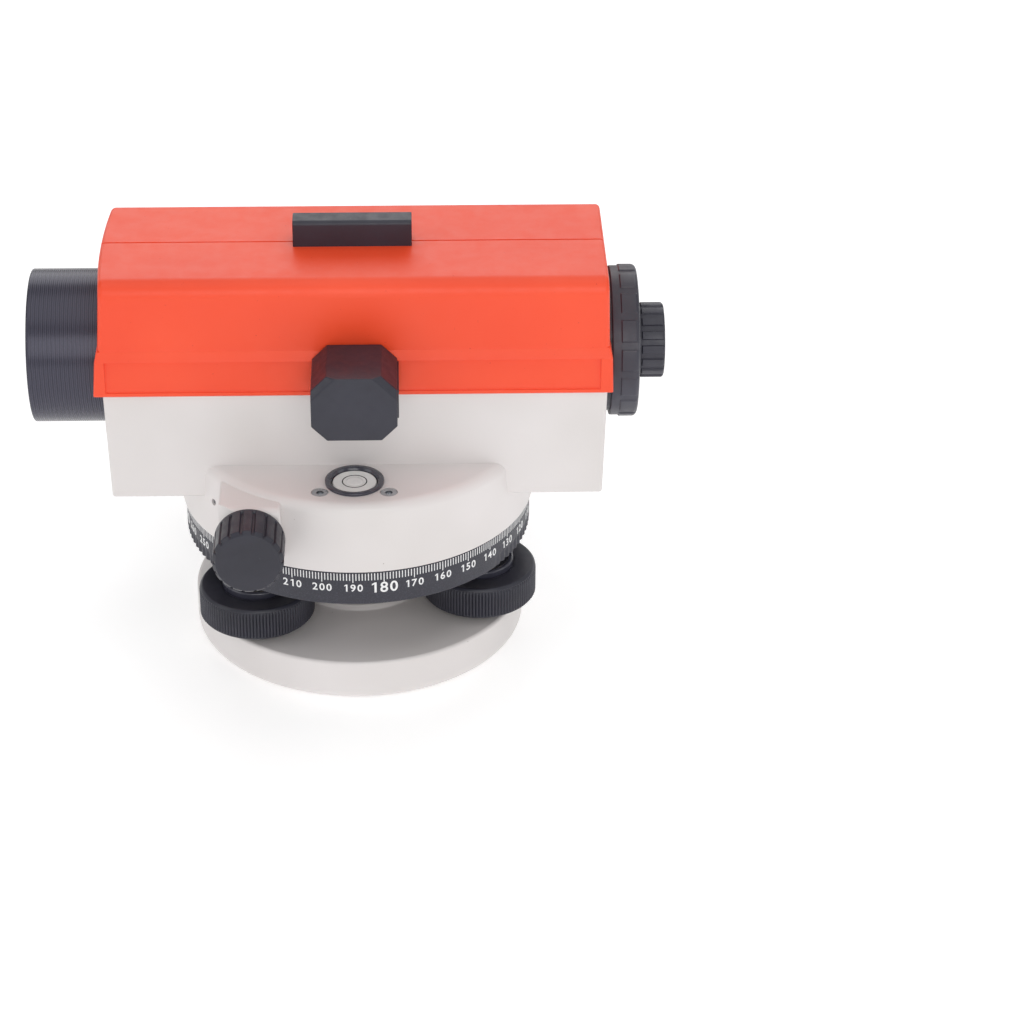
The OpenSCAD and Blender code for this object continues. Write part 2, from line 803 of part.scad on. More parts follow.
module objective_lens() {
  bulge = 1.2;
  back_r = (OBJECTIVE_R * OBJECTIVE_R + bulge * bulge) / (2 * bulge);
  color(GLASS) on_axis(barrel_x + 9) {
    lens(OBJECTIVE_R, 2, 1.8, bulge);
    difference() {
      translate([0, 0, 2.2]) cylinder(r = OBJECTIVE_R, h = 2.8);
      translate([0, 0, 2.1 + bulge - back_r]) sphere(r = back_r);
    }
  }
}

module objective_ring() {
  color(BLACK) on_axis(barrel_x + 5.6) ring(OBJECTIVE_BORE_R, 19.4, 3);
}

module telescope_tube() {
  start = BARREL_END - 5;
  color(BLACK) difference() {
    on_axis(start) ring(TUBE_R, TUBE_BORE, -12 - start);
    // Slot that the rack's arm runs in
    translate([-56, 5, axis_z - 2.2]) cube([41, 20, 4.4]);
  }
}

FOCUS_CELL_X = -44;

module focus_cell() {
  color(ALUMINIUM) {
    on_axis(FOCUS_CELL_X) ring(TUBE_BORE - RUN, FOCUS_LENS_R, 14);
    translate([FOCUS_CELL_X + 4, 12, axis_z - 1.8]) cube([6, RACK_Y - 12, 3.6]);
  }
}

module focus_lens() {
  color(GLASS) on_axis(FOCUS_CELL_X + 5) difference() {
    cylinder(r = FOCUS_LENS_R, h = 5);
    translate([0, 0, -28]) sphere(r = 29.5);
    translate([0, 0, 33]) sphere(r = 29.5);
  }
}

module focus_rack() {
  // A gap between two teeth stands over the pinion's axis, where a tooth points up
  pitch = PI * RACK_MODULE;
  pitch_z = FOCUS_Z + pinion_r + 0.05;
  start = FOCUS_CELL_X;
  color(BRASS) translate([0, RACK_Y + RACK_T / 2, 0]) side_profile(RACK_T / 2) union() {
    translate([start, pitch_z + 0.58]) square([3 - start, axis_z + 1.8 - pitch_z - 0.58]);
    for (tooth = [-7:7]) translate([FOCUS_X + (tooth + 0.5) * pitch, pitch_z]) {
      polygon([[-0.5, 0.6], [-0.16, -0.42], [0.16, -0.42], [0.5, 0.6]]);
    }
  }
}

module focus_shaft() {
  color(STEEL) along_y(FOCUS_X, 17.2, FOCUS_Z) {
    rotate([0, 0, -90]) linear_extrude(4.4) gear_outline(PINION_TEETH, RACK_MODULE);
    cylinder(r = FOCUS_SHAFT_R, h = 28);
  }
}

module focus_bush() {
  color(BRASS)
    along_y(FOCUS_X, body_half_y - WALL - 2, FOCUS_Z)
      ring(FOCUS_BUSH_R, FOCUS_SHAFT_R + RUN, WALL + 3);
}

module focus_knob() {
  length = 15;
  color(BLACK) along_y(FOCUS_X, body_half_y + 1.5, FOCUS_Z) difference() {
    grooved_knob(focus_knob_r, length, 20, 1.5, 0.8, 1.8);
    translate([0, 0, -PAST]) cylinder(r = FOCUS_SHAFT_R, h = 14.2 + PAST);
  }
}

// ---- Compensator ----

COMP_X = [-6, 36];
HANG = [15, 0, 117];

module compensator_frame() {
  color(ALUMINIUM) difference() {
    union() {
      translate([COMP_X[0], -15, FLOOR_Z]) cube([COMP_X[1] - COMP_X[0], 30, 3]);
      for (side = [-1, 1]) {
        translate([HANG[0] - 6, side * 13.5 - 1.5, FLOOR_Z]) cube([12, 3, 52]);
        translate([COMP_X[0] + 2, side * 13.5 - 1.5, FLOOR_Z]) cube([38, 3, 10]);
      }
      translate([HANG[0] - 6, -15, 120]) cube([12, 30, 3]);
      // Shelf that holds the fixed prism, before the pendulum
      translate([COMP_X[0], -15, 81]) cube([10, 30, 6]);
    }
    // Clears the heads of the spindle's screws
    at_spindle_screws() translate([0, 0, FLOOR_Z - PAST]) cylinder(r = 2.4, h = 6);
  }
}

module roof_prism() {
  color(GLASS) translate([COMP_X[0] + 1, -10, 87]) cube([8, 20, 23]);
}

module damper_magnets() {
  color(STEEL) for (side = [-1, 1]) {
    translate([HANG[0] - 4, side * 6.5 - 2, FLOOR_Z + 3]) cube([8, 4, 8]);
  }
}

module pendulum() {
  color(ALUMINIUM) difference() {
    union() {
      translate([HANG[0] - 4, -11, 114]) cube([8, 22, 2]);
      // Rod that the wires are clamped to, on the swing's axis
      along_y(HANG[0], -11, HANG[2]) cylinder(r = 1.5, h = 22);
      for (side = [-1, 1]) translate([HANG[0] - 4, side * 10 - 1, 86]) cube([8, 2, 30]);
      translate([HANG[0] - 4, -11, 84]) cube([8, 22, 3]);
      // Damping vane between the magnets
      translate([HANG[0] - 3, -1, 76]) cube([6, 2, 9]);
    }
  }
}

module pendulum_prism() {
  color(GLASS) translate([HANG[0] - 3.5, -8.5, 90]) cube([7, 17, 19]);
}

module suspension_wires() {
  color(STEEL) for (x = [-2.7, 2.7], y = [-7, 7]) {
    translate([HANG[0] + x, y, 116]) cylinder(r = 0.15, h = 3.8, $fn = 16);
  }
}

// ---- Reticle and eyepiece ----

module eyepiece_sleeve() {
  start = 42;
  color(BLACK) difference() {
    on_axis(start) cylinder(r = EYE_SLEEVE_R, h = 85.4 - start);
    on_axis(start - PAST) cylinder(r = 12.5, h = 66 - start + PAST);
    on_axis(60) cylinder(r = EYE_TUBE_R + RUN, h = 40);
    for (turn = [0:3]) translate([RETICLE_X, 0, axis_z]) rotate([90 * turn + 45, 0, 0]) {
      cylinder(r = 1.2, h = 30);
    }
  }
}

module reticle_cell() {
  color(BRASS) on_axis(RETICLE_X - 2.5) ring(RETICLE_CELL_R, 7.5, 5);
}

module reticle_glass() {
  color(GLASS) on_axis(RETICLE_X - 0.75) cylinder(r = 7.5, h = 1.5);
}

module reticle_screws() {
  color(STEEL) for (turn = [0:3]) {
    translate([RETICLE_X, 0, axis_z]) rotate([90 * turn + 45, 0, 0]) translate([0, 0, RETICLE_CELL_R]) {
      cylinder(r = 1.2, h = 5.5);
    }
  }
}

module eyepiece_cover() {
  pads = 16;
  ring_x = 79.4;
  pad_x = 82;
  chamfer = 1;
  color(BLACK) difference() {
    union() {
      on_axis(75) cylinder(r = 22, h = 5);
      on_axis(ring_x) cylinder(r = eyepiece_ring_r - 0.7, h = RING_FACE_X - ring_x);
      on_axis(ring_x) cylinder(r = eyepiece_ring_r, h = pad_x - ring_x);
      on_axis(pad_x - 0.5) intersection() {
        grooved_disc(eyepiece_ring_r + 0.3, RING_FACE_X - pad_x + 0.5, pads, 4.2, 1.1);
        rotate_extrude() polygon([
          [0, 0], [30, 0], [30, RING_FACE_X - pad_x - chamfer],
          [eyepiece_ring_r - chamfer, RING_FACE_X - pad_x + 0.5], [0, RING_FACE_X - pad_x + 0.5]
        ]);
      }
    }
    on_axis(70) cylinder(r = 19.5, h = 85.8 - 70);
    on_axis(70) cylinder(r = EYE_TUBE_R + 0.5, h = 30);
  }
}

module eyepiece_tube() {
  start = 69;
  color(BLACK) on_axis(start) ring(EYE_TUBE_R, EYE_LENS_R, 95.6 - start);
}

module eyepiece_lenses() {
  color(GLASS) {
    on_axis(71.5) lens(EYE_LENS_R, 2.6, 0.9, 1.2);
    on_axis(79) lens(EYE_LENS_R, 2.6, 1.2, 0.6);
    on_axis(89.5) lens(EYE_LENS_R, 2.2, 1.0, 1.0);
  }
}

module diopter_ring() {
  length = DIOPTER_END - DIOPTER_X;
  color(BLACK) on_axis(DIOPTER_X) difference() {
    grooved_knob(diopter_r, length, 16, 2, 0.6, 1.4);
    translate([0, 0, -PAST]) cylinder(r = EYE_TUBE_R + RUN, h = length + 2 * PAST);
  }
}

// ---- One line a node ----

base_plate();
tripod_insert();
seat_rings();
seat_ring_screws();
ball_seat_a();
ball_seat_b();
ball_seat_c();
foot_screw_a();
foot_screw_b();
foot_screw_c();
foot_knob_a();
foot_knob_b();
foot_knob_c();
tribrach();
foot_bushes();
axis_bush();
sleeve_rings();
horizontal_circle();
housing();
turret_plate();
vertical_axis();
axis_retainer();
housing_screws();
worm_bearings();
worm_shaft();
fine_knobs();
worm_wheel();
bubble_housing();
bubble_vial();
bubble_screws();
prism_housing();
bubble_prism();
prism_screws();
cover();
cover_screws();
sight();
objective_barrel();
objective_lens();
objective_ring();
telescope_tube();
focus_cell();
focus_lens();
focus_rack();
focus_shaft();
focus_knob();
focus_bush();
compensator_frame();
roof_prism();
damper_magnets();
pendulum();
pendulum_prism();
suspension_wires();
reticle_cell();
reticle_glass();
reticle_screws();
eyepiece_sleeve();
eyepiece_cover();
eyepiece_tube();
eyepiece_lenses();
diopter_ring();
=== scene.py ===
import json
import math

import bmesh
import bpy
from mathutils import Matrix, Vector


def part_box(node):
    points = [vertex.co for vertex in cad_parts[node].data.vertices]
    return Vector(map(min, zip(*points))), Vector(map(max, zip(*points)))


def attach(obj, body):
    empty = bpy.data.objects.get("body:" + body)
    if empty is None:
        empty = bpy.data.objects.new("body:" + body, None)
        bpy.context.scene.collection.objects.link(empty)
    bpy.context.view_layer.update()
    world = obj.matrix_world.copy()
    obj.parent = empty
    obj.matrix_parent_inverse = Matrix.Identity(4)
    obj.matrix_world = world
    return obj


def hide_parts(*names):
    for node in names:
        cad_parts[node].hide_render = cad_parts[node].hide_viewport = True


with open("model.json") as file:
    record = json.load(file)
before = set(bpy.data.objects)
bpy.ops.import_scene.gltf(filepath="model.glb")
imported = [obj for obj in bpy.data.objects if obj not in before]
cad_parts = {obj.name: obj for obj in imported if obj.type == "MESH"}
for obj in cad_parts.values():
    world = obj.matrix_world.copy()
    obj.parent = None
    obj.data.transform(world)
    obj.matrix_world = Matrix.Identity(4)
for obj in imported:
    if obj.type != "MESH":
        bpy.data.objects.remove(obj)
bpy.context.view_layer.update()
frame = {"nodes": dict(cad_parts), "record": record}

MM = 0.001
NODES = frame["nodes"]

# ---------------------------------------------------------------- materials


def srgb(red, green, blue):
    """A colour given as 0 to 255 screen values, as linear RGBA."""
    def linear(value):
        value /= 255
        return value / 12.92 if value <= 0.04045 else ((value + 0.055) / 1.055) ** 2.4
    return (linear(red), linear(green), linear(blue), 1)


class Shader:
    """One material's node tree, with short calls for the nodes used here."""

    def __init__(self, name, colour, roughness, metallic=0.0):
        self.material = bpy.data.materials.new(name)
        self.material.use_nodes = True
        self.tree = self.material.node_tree
        self.base = self.tree.nodes["Principled BSDF"]
        self.base.inputs["Base Color"].default_value = colour
        self.base.inputs["Roughness"].default_value = roughness
        self.base.inputs["Metallic"].default_value = metallic
        self.colour = colour
        self.place = self.node("ShaderNodeTexCoord").outputs["Object"]
        self.last_bump = None

    def node(self, kind, **values):
        made = self.tree.nodes.new(kind)
        for key, value in values.items():
            setattr(made, key, value)
        return made

    def link(self, source, target):
        self.tree.links.new(source, target)

    def noise(self, grain, detail=3.0):
        """Noise whose grains measure about the given size in metres."""
        made = self.node("ShaderNodeTexNoise")
        made.inputs["Scale"].default_value = 1 / grain
        made.inputs["Detail"].default_value = detail
        made.inputs["Roughness"].default_value = 0.55
        self.link(self.place, made.inputs["Vector"])
        return made.outputs["Fac"]

    def ramp(self, source, low, high, start=0.0, end=1.0):
        """Maps the range from start to end onto the range from low to high."""
        made = self.node("ShaderNodeMapRange")
        made.inputs["From Min"].default_value = start
        made.inputs["From Max"].default_value = end
        made.inputs["To Min"].default_value = low
        made.inputs["To Max"].default_value = high
        self.link(source, made.inputs["Value"])
        return made.outputs["Result"]

    def rough(self, source, low, high, start=0.3, end=0.7):
        """Varies the roughness from low to high, as the source says."""
        self.link(self.ramp(source, low, high, start, end), self.base.inputs["Roughness"])

    def tint(self, source, other, start=0.35, end=0.65):
        """Mixes the base colour with another one, as far as the source says."""
        mix = self.node("ShaderNodeMix", data_type="RGBA")
        mix.inputs["A"].default_value = self.colour
        mix.inputs["B"].default_value = other
        self.link(self.ramp(source, 0, 1, start, end), mix.inputs["Factor"])
        self.link(mix.outputs["Result"], self.base.inputs["Base Color"])

    def fleck(self, grain, rarity, other):
        """Sprinkles small marks of another colour, such as dust and nicks, over a tinted base."""
        target = self.base.inputs["Base Color"]
        mix = self.node("ShaderNodeMix", data_type="RGBA")
        self.link(target.links[0].from_socket, mix.inputs["A"])
        mix.inputs["B"].default_value = other
        self.link(self.ramp(self.noise(grain, 2), 0, 1, rarity, rarity + 0.02), mix.inputs["Factor"])
        self.link(mix.outputs["Result"], target)

    def bump(self, source, height, strength=1.0):
        """Adds relief of the given height in metres on top of any relief so far."""
        made = self.node("ShaderNodeBump")
        made.inputs["Distance"].default_value = height
        made.inputs["Strength"].default_value = strength
        self.link(source, made.inputs["Height"])
        if self.last_bump is not None:
            self.link(self.last_bump, made.inputs["Normal"])
        self.last_bump = made.outputs["Normal"]
        self.link(self.last_bump, self.base.inputs["Normal"])

    def bands(self, pitch, distortion=0.0):
        """Fine parallel lines across the X axis, one every pitch metres."""
        made = self.node("ShaderNodeTexWave", wave_type="BANDS", bands_direction="X")
        made.inputs["Scale"].default_value = 2 * math.pi / (20 * pitch)
        made.inputs["Distortion"].default_value = distortion
        made.inputs["Detail"].default_value = 2.0
        self.link(self.place, made.inputs["Vector"])
        return made.outputs["Fac"]


def darker(colour, factor):
    """A linear RGBA colour with its three channels scaled down."""
    return tuple(channel * factor for channel in colour[:3]) + (1,)


def make_paint():
    paint = Shader("white_paint", srgb(226, 221, 220), 0.36)
    paint.tint(paint.noise(0.045, 2), srgb(219, 214, 212))
    paint.fleck(0.0016, 0.785, srgb(176, 168, 162))
    paint.rough(paint.noise(0.006), 0.32, 0.42)
    paint.bump(paint.noise(0.0011, 2), 0.00004, 0.35)
    paint.bump(paint.noise(0.00035, 1), 0.000012, 0.3)
    paint.base.inputs["Coat Weight"].default_value = 0.15
    paint.base.inputs["Coat Roughness"].default_value = 0.25
    return paint.material


def make_orange():
    orange = Shader("orange_plastic", srgb(248, 80, 42), 0.42)
    orange.tint(orange.noise(0.05, 2), srgb(244, 74, 36))
    orange.fleck(0.0012, 0.745, srgb(226, 62, 34))
    orange.rough(orange.noise(0.004), 0.36, 0.48)
    orange.bump(orange.noise(0.0005, 3), 0.00003, 0.4)
    return orange.material


def make_black_plastic(name, colour):
    black = Shader(name, colour, 0.4)
    black.tint(black.noise(0.02, 3), darker(colour, 0.72))
    black.fleck(0.0009, 0.77, srgb(82, 82, 92))
    black.rough(black.noise(0.003), 0.34, 0.5)
    black.bump(black.noise(0.0004, 3), 0.00003, 0.5)
    return black.material


def make_collar_plastic():
    # Glossier than the black plastic, and lighter: the lighter colour is partly the plastic's own tone and
    # partly painted reflection, standing in for the shine the foot collars and the bubble's ring show.
    black = Shader("collar_plastic", srgb(58, 58, 70), 0.2)
    black.rough(black.noise(0.003), 0.15, 0.26)
    black.bump(black.noise(0.0012, 2), 0.00002, 0.4)
    black.base.inputs["Coat Weight"].default_value = 0.4
    return black.material


def make_circle_black():
    black = Shader("circle_black", srgb(46, 46, 56), 0.4)
    black.tint(black.noise(0.00045, 2), srgb(66, 66, 78), 0.5, 0.8)
    black.rough(black.noise(0.0006), 0.34, 0.55)
    black.bump(black.noise(0.0004, 2), 0.00003, 0.6)
    return black.material


def make_mark_white():
    white = Shader("mark_white", srgb(240, 240, 240), 0.5)
    white.tint(white.noise(0.0008, 2), srgb(216, 216, 218), 0.45, 0.8)
    white.bump(white.noise(0.0003, 2), 0.00001, 0.4)
    return white.material


def make_barrel():
    black = Shader("black_barrel", srgb(58, 57, 70), 0.28, 0.35)
    black.tint(black.bands(0.00126, 2.5), srgb(66, 65, 79))
    black.rough(black.bands(0.00063, 1.2), 0.22, 0.33, 0.2, 0.8)
    black.bump(black.bands(0.00042, 0.4), 0.00001, 0.4)
    black.bump(black.noise(0.0006, 2), 0.000006, 0.4)
    return black.material


def make_inner_black():
    black = Shader("inner_black", srgb(24, 24, 27), 0.75)
    black.tint(black.noise(0.006, 2), srgb(32, 32, 36))
    black.rough(black.noise(0.002), 0.68, 0.85)
    black.bump(black.bands(0.0006), 0.00008, 0.7)
    return black.material


def make_metal(name, colour, roughness, grain=0.0008):
    metal = Shader(name, colour, roughness, 1.0)
    metal.tint(metal.noise(0.01, 3), darker(colour, 0.86))
    metal.rough(metal.noise(grain), roughness * 0.8, roughness * 1.3)
    metal.bump(metal.noise(grain * 0.6, 3), 0.00001, 0.5)
    return metal.material


def make_nylon():
    nylon = Shader("nylon", srgb(232, 230, 220), 0.5)
    nylon.base.inputs["Subsurface Weight"].default_value = 0.15
    nylon.base.inputs["Subsurface Radius"].default_value = (0.002, 0.002, 0.0015)
    nylon.rough(nylon.noise(0.002), 0.42, 0.58)
    nylon.bump(nylon.noise(0.001, 2), 0.00002, 0.4)
    return nylon.material


def make_glass(name, colour, coated):
    glass = Shader(name, colour, 0.02)
    glass.base.inputs["Transmission Weight"].default_value = 1.0
    glass.base.inputs["IOR"].default_value = 1.5
    glass.rough(glass.noise(0.004), 0.01, 0.035)
    if coated:
        glass.base.inputs["Coat Weight"].default_value = 0.6
        glass.base.inputs["Coat Tint"].default_value = srgb(150, 120, 220)
    return glass.material


def make_vial_white():
    white = Shader("vial_white", srgb(240, 242, 240), 0.14)
    white.tint(white.noise(0.004, 2), srgb(230, 233, 231))
    white.rough(white.noise(0.002), 0.1, 0.18)
    white.bump(white.noise(0.001, 2), 0.00001, 0.3)
    white.base.inputs["Coat Weight"].default_value = 0.8
    return white.material


def make_bubble_air():
    air = Shader("bubble_air", srgb(244, 245, 243), 0.08)
    air.tint(air.noise(0.003, 2), srgb(234, 236, 235))
    air.rough(air.noise(0.002), 0.05, 0.12)
    air.base.inputs["Coat Weight"].default_value = 0.5
    return air.material


MATERIALS = {
    "white_paint": make_paint(),
    "orange_cover": make_orange(),
    "black_plastic": make_black_plastic("black_plastic", srgb(45, 45, 57)),
    "circle_black": make_circle_black(),
    "black_barrel": make_barrel(),
    "inner_black": make_inner_black(),
    "steel": make_metal("steel", srgb(178, 180, 184), 0.3),
    "brass": make_metal("brass", srgb(205, 172, 100), 0.3),
    "aluminium": make_metal("aluminium", srgb(200, 202, 205), 0.38),
    "nylon": make_nylon(),
    "glass": make_glass("lens_glass", srgb(240, 246, 248), True),
    "bubble_fluid": make_glass("vial_glass", srgb(248, 250, 240), False),
}
MARK_WHITE = make_mark_white()
# Lighter, glossier black for the foot collars and the bubble's ring; part of its lightness is painted
# reflection.
COLLAR_PLASTIC = make_collar_plastic()
# Lighter copy of the black plastic for the eyepiece guard and the dioptre ring; its lightness is partly
# their own tone and partly painted sheen for the light these glossy parts catch at the eyepiece end.
EYE_PLASTIC = make_black_plastic("eye_plastic", srgb(62, 61, 73))
VIAL_WHITE = make_vial_white()
BUBBLE_AIR = make_bubble_air()

# ---------------------------------------------------------------- mesh helpers

FINE = 4  # straight steps in a small rounding
ROUND = 192  # straight steps round a large smooth body

TO_PLUS_X = Matrix.Rotation(math.radians(90), 4, "Y")
TO_PLUS_Y = Matrix.Rotation(math.radians(-90), 4, "X")
TO_MINUS_Y = Matrix.Rotation(math.radians(90), 4, "X")


def rounded(corners, steps=FINE):
    """Outline points from corners (across, up, rounding), with an arc where the rounding isn't 0."""
    points = []
    count = len(corners)
    for index, (across, up, rounding) in enumerate(corners):
        here = Vector((across, up))
        if not rounding:
            points.append(here)
            continue
        before = Vector(corners[index - 1][:2]) - here
        after = Vector(corners[(index + 1) % count][:2]) - here
        half = before.angle(after) / 2
        reach = min(rounding / math.tan(half), 0.49 * before.length, 0.49 * after.length)
        before.normalize()
        after.normalize()
        centre = here + (before + after).normalized() * (reach / math.cos(half))
        first = here + before * reach - centre
        last = here + after * reach - centre
        bend = first.length
        points.extend(centre + first.slerp(last, step / steps) * bend for step in range(steps + 1))
    return points


def skin(mesh_data, ring, following):
    """Joins two rings of vertices with a band of faces."""
    for index in range(len(ring)):
        beside = (index + 1) % len(ring)
        mesh_data.faces.new((ring[index], ring[beside], following[beside], following[index]))


def lathe(outline, segments=ROUND, shape=None):
    """A bmesh turned round +Z from outline points (radius, height).

    The outline closes on itself, or on the axis where its first radius is 0. shape, if
    given, takes (angle, radius, height) and returns the radius there.
    """
    mesh_data = bmesh.new()
    rows = []
    for radius, height in outline:
        row = []
        for index in range(segments):
            angle = 2 * math.pi * index / segments
            reach = shape(angle, radius, height) if shape else radius
            row.append(mesh_data.verts.new((reach * math.cos(angle), reach * math.sin(angle), height)))
        rows.append(row)
    pairs = list(zip(rows, rows[1:]))
    if outline[0][0] > 0:
        pairs.append((rows[-1], rows[0]))
    for row, following in pairs:
        skin(mesh_data, row, following)
    bmesh.ops.remove_doubles(mesh_data, verts=mesh_data.verts, dist=1e-8)
    bmesh.ops.recalc_face_normals(mesh_data, faces=mesh_data.faces)
    return mesh_data


def loft(rows):
    """A closed bmesh through rings of places, from the first ring to the last."""
    mesh_data = bmesh.new()
    rings = [[mesh_data.verts.new(place) for place in row] for row in rows]
    for ring, following in zip(rings, rings[1:]):
        skin(mesh_data, ring, following)
    mesh_data.faces.new(rings[0])
    mesh_data.faces.new(rings[-1])
    bmesh.ops.recalc_face_normals(mesh_data, faces=mesh_data.faces)
    return mesh_data


def prism(outline, along, low, high):
    """A bmesh of a flat outline drawn across one axis and carried along it."""
    places = {
        "X": lambda across, up, depth: (depth, across, up),
        "Y": lambda across, up, depth: (across, depth, up),
        "Z": lambda across, up, depth: (across, up, depth),
    }
    return loft([[places[along](across, up, depth) for across, up in outline] for depth in (low, high)])


def stack(levels):
    """A bmesh through level rectangles (low x, high x, half y, z), one above another."""
    return loft([
        [(low_x, -half_y, z), (high_x, -half_y, z), (high_x, half_y, z), (low_x, half_y, z)]
        for low_x, high_x, half_y, z in levels
    ])


def block(low, high):
    """A bmesh box between two corners."""
    outline = [(low[1], low[2]), (high[1], low[2]), (high[1], high[2]), (low[1], high[2])]
    return prism(outline, "X", low[0], high[0])


def ease_edges(mesh_data, width, chosen=None, segments=3):
    """Rounds the sharp edges of a clean mesh, all of them or those that chosen() takes."""
    edges = [
        edge for edge in mesh_data.edges
        if edge.calc_face_angle(0) > math.radians(30) and (chosen is None or chosen(edge))
    ]
    bmesh.ops.bevel(
        mesh_data, geom=edges, offset=width, offset_type="OFFSET", segments=segments,
        profile=0.5, affect="EDGES", clamp_overlap=True,
    )
    return mesh_data


def middle(edge):
    return (edge.verts[0].co + edge.verts[1].co) / 2


def middle_of(node, axis):
    """Where the middle of a CAD node's box lies along one axis, x, y or z."""
    low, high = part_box(node)
    return (getattr(low, axis) + getattr(high, axis)) / 2


def placed(mesh_data, place, turn=Matrix()):
    """Turns and moves a bmesh, and returns it."""
    mesh_data.transform(Matrix.Translation(place) @ turn)
    return mesh_data


def rod(radius, low, high, place=(0, 0, 0), turn=Matrix(), segments=64):
    """A plain round cutting tool along +Z from low to high, then turned and moved."""
    return placed(lathe([(0, low), (radius, low), (radius, high), (0, high)], segments), place, turn)


def join_into(target, solid):
    """Adds a bmesh to another one, and frees it."""
    held = bpy.data.meshes.new("held")
    solid.to_mesh(held)
    solid.free()
    target.from_mesh(held)
    bpy.data.meshes.remove(held)


def as_object(name, mesh_data):
    mesh = bpy.data.meshes.new(name)
    mesh_data.to_mesh(mesh)
    mesh_data.free()
    made = bpy.data.objects.new(name, mesh)
    bpy.context.scene.collection.objects.link(made)
    return made


def evaluated_mesh(made):
    bpy.context.view_layer.update()
    return bpy.data.meshes.new_from_object(made.evaluated_get(bpy.context.evaluated_depsgraph_get()))


def carve(mesh_data, steps):
    """Adds and cuts bmesh solids one after another.

    steps are pairs (operation, solid), with UNION, DIFFERENCE or INTERSECT as the operation.
    """
    base = as_object("carved", mesh_data)
    tools = []
    for operation, solid in steps:
        tool = as_object("carving_tool", solid)
        modifier = base.modifiers.new("carve", "BOOLEAN")
        modifier.operation = operation
        modifier.solver = "EXACT"
        modifier.object = tool
        tools.append(tool)
    mesh = evaluated_mesh(base)
    result = bmesh.new()
    result.from_mesh(mesh)
    bpy.data.meshes.remove(mesh)
    for made in (base, *tools):
        left = made.data
        bpy.data.objects.remove(made)
        bpy.data.meshes.remove(left)
    bmesh.ops.remove_doubles(result, verts=result.verts, dist=1e-6)
    return result


def piece(name, mesh_data, body, slot, replaced=(), sharp=38, material=None):
    """Turns a bmesh into a smooth-shaded piece that rides on a body.

    Edges bent by more than sharp degrees stay sharp. Without a material it has its slot's.
    """
    made = as_object(name, mesh_data)
    made.data.shade_smooth()
    made.data.set_sharp_from_angle(angle=math.radians(sharp))
    made.data.materials.append(material or MATERIALS[slot])
    weighted = made.modifiers.new("weighted", "WEIGHTED_NORMAL")
    weighted.keep_sharp = True
    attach(made, body)
    if replaced:
        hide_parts(*replaced)


def smooth_step(value, low, high):
    """Rises softly from 0 at low to 1 at high."""
    share = min(max((value - low) / (high - low), 0), 1)
    return share * share * (3 - 2 * share)


def pads(count, floor, groove, soft, start):
    """Relief of raised pads round a knob, above the height start.

    Between the pads the surface drops to the floor radius, in grooves of the given width.
    """
    def shape(angle, radius, height):
        if radius <= floor or height <= start:
            return radius
        pitch = 2 * math.pi / count
        off = abs((angle + pitch / 2) % pitch - pitch / 2) * radius
        return floor + (radius - floor) * smooth_step(off, groove / 2 - soft, groove / 2 + soft)
    return shape


def ribs(count, depth, edge_r, low, high, fade):
    """Relief of fine rounded ribs over the wall outside edge_r, fading out towards its ends."""
    def shape(angle, radius, height):
        if radius < edge_r:
            return radius
        weight = smooth_step(height, low, low + fade) * smooth_step(-height, -high, -high + fade)
        return radius - depth * weight * (1 - abs(math.cos(count * angle / 2)))
    return shape


# ---------------------------------------------------------------- camera, light, floor


def add_camera():
    data = bpy.data.cameras.new("camera")
    data.lens = 108.13
    data.sensor_width = 36
    data.clip_start = 0.05
    data.clip_end = 50
    camera = bpy.data.objects.new("camera", data)
    camera.location = (18.8 * MM, -857.1 * MM, 542.6 * MM)
    forward = Vector((0.03088, 0.86087, -0.50788)).normalized()
    roll = Matrix.Rotation(math.radians(0.44), 4, "Z")
    camera.rotation_mode = "QUATERNION"
    turn = forward.to_track_quat("-Z", "Y").to_matrix().to_4x4() @ roll
    camera.rotation_quaternion = turn.to_quaternion()
    bpy.context.scene.collection.objects.link(camera)
    bpy.context.scene.camera = camera


def add_area_light(name, place, target, size, power):
    data = bpy.data.lights.new(name, "AREA")
    data.shape = "RECTANGLE"
    data.size, data.size_y = size
    data.energy = power
    light = bpy.data.objects.new(name, data)
    light.location = place
    aim = Vector(target) - Vector(place)
    light.rotation_mode = "QUATERNION"
    light.rotation_quaternion = aim.to_track_quat("-Z", "Y")
    bpy.context.scene.collection.objects.link(light)


def add_studio():
    world = bpy.data.worlds.new("studio")
    world.use_nodes = True
    background = world.node_tree.nodes["Background"]
    background.inputs["Color"].default_value = (1, 1, 1, 1)
    background.inputs["Strength"].default_value = 0.38
    bpy.context.scene.world = world
    subject = (0, 0, 0.07)
    for name, place, size, power in (
        ("top_light", (0.1, -0.1, 1.3), (1.4, 1.2), 4.4),
        ("front_light", (0.15, -1.25, 0.68), (1.0, 0.8), 5.5),
        ("back_light", (0.03, 1.15, 0.8), (1.7, 0.9), 6.6),
        ("left_light", (-1.2, -0.5, 0.6), (0.7, 1.0), 2.5),
        ("right_light", (1.25, -0.45, 0.6), (0.7, 1.0), 1.7),
    ):
        add_area_light(name, place, subject, size, power)
    mesh_data = bmesh.new()
    bmesh.ops.create_grid(mesh_data, x_segments=1, y_segments=1, size=6)
    mesh = bpy.data.meshes.new("floor")
    mesh_data.to_mesh(mesh)
    mesh_data.free()
    floor_paint = Shader("floor_paper", srgb(252, 252, 252), 0.9)
    floor_paint.base.inputs["Emission Color"].default_value = (1, 1, 1, 1)
    floor_paint.base.inputs["Emission Strength"].default_value = 0.28
    floor_paint.bump(floor_paint.noise(0.002), 0.00002, 0.2)
    mesh.materials.append(floor_paint.material)
    floor = bpy.data.objects.new("floor", mesh)
    floor.location.z = -0.0002
    bpy.context.scene.collection.objects.link(floor)
    bpy.context.scene.view_settings.view_transform = "Standard"


add_camera()
add_studio()

# ---------------------------------------------------------------- levelling base

FOOT_NAMES = ("a", "b", "c")


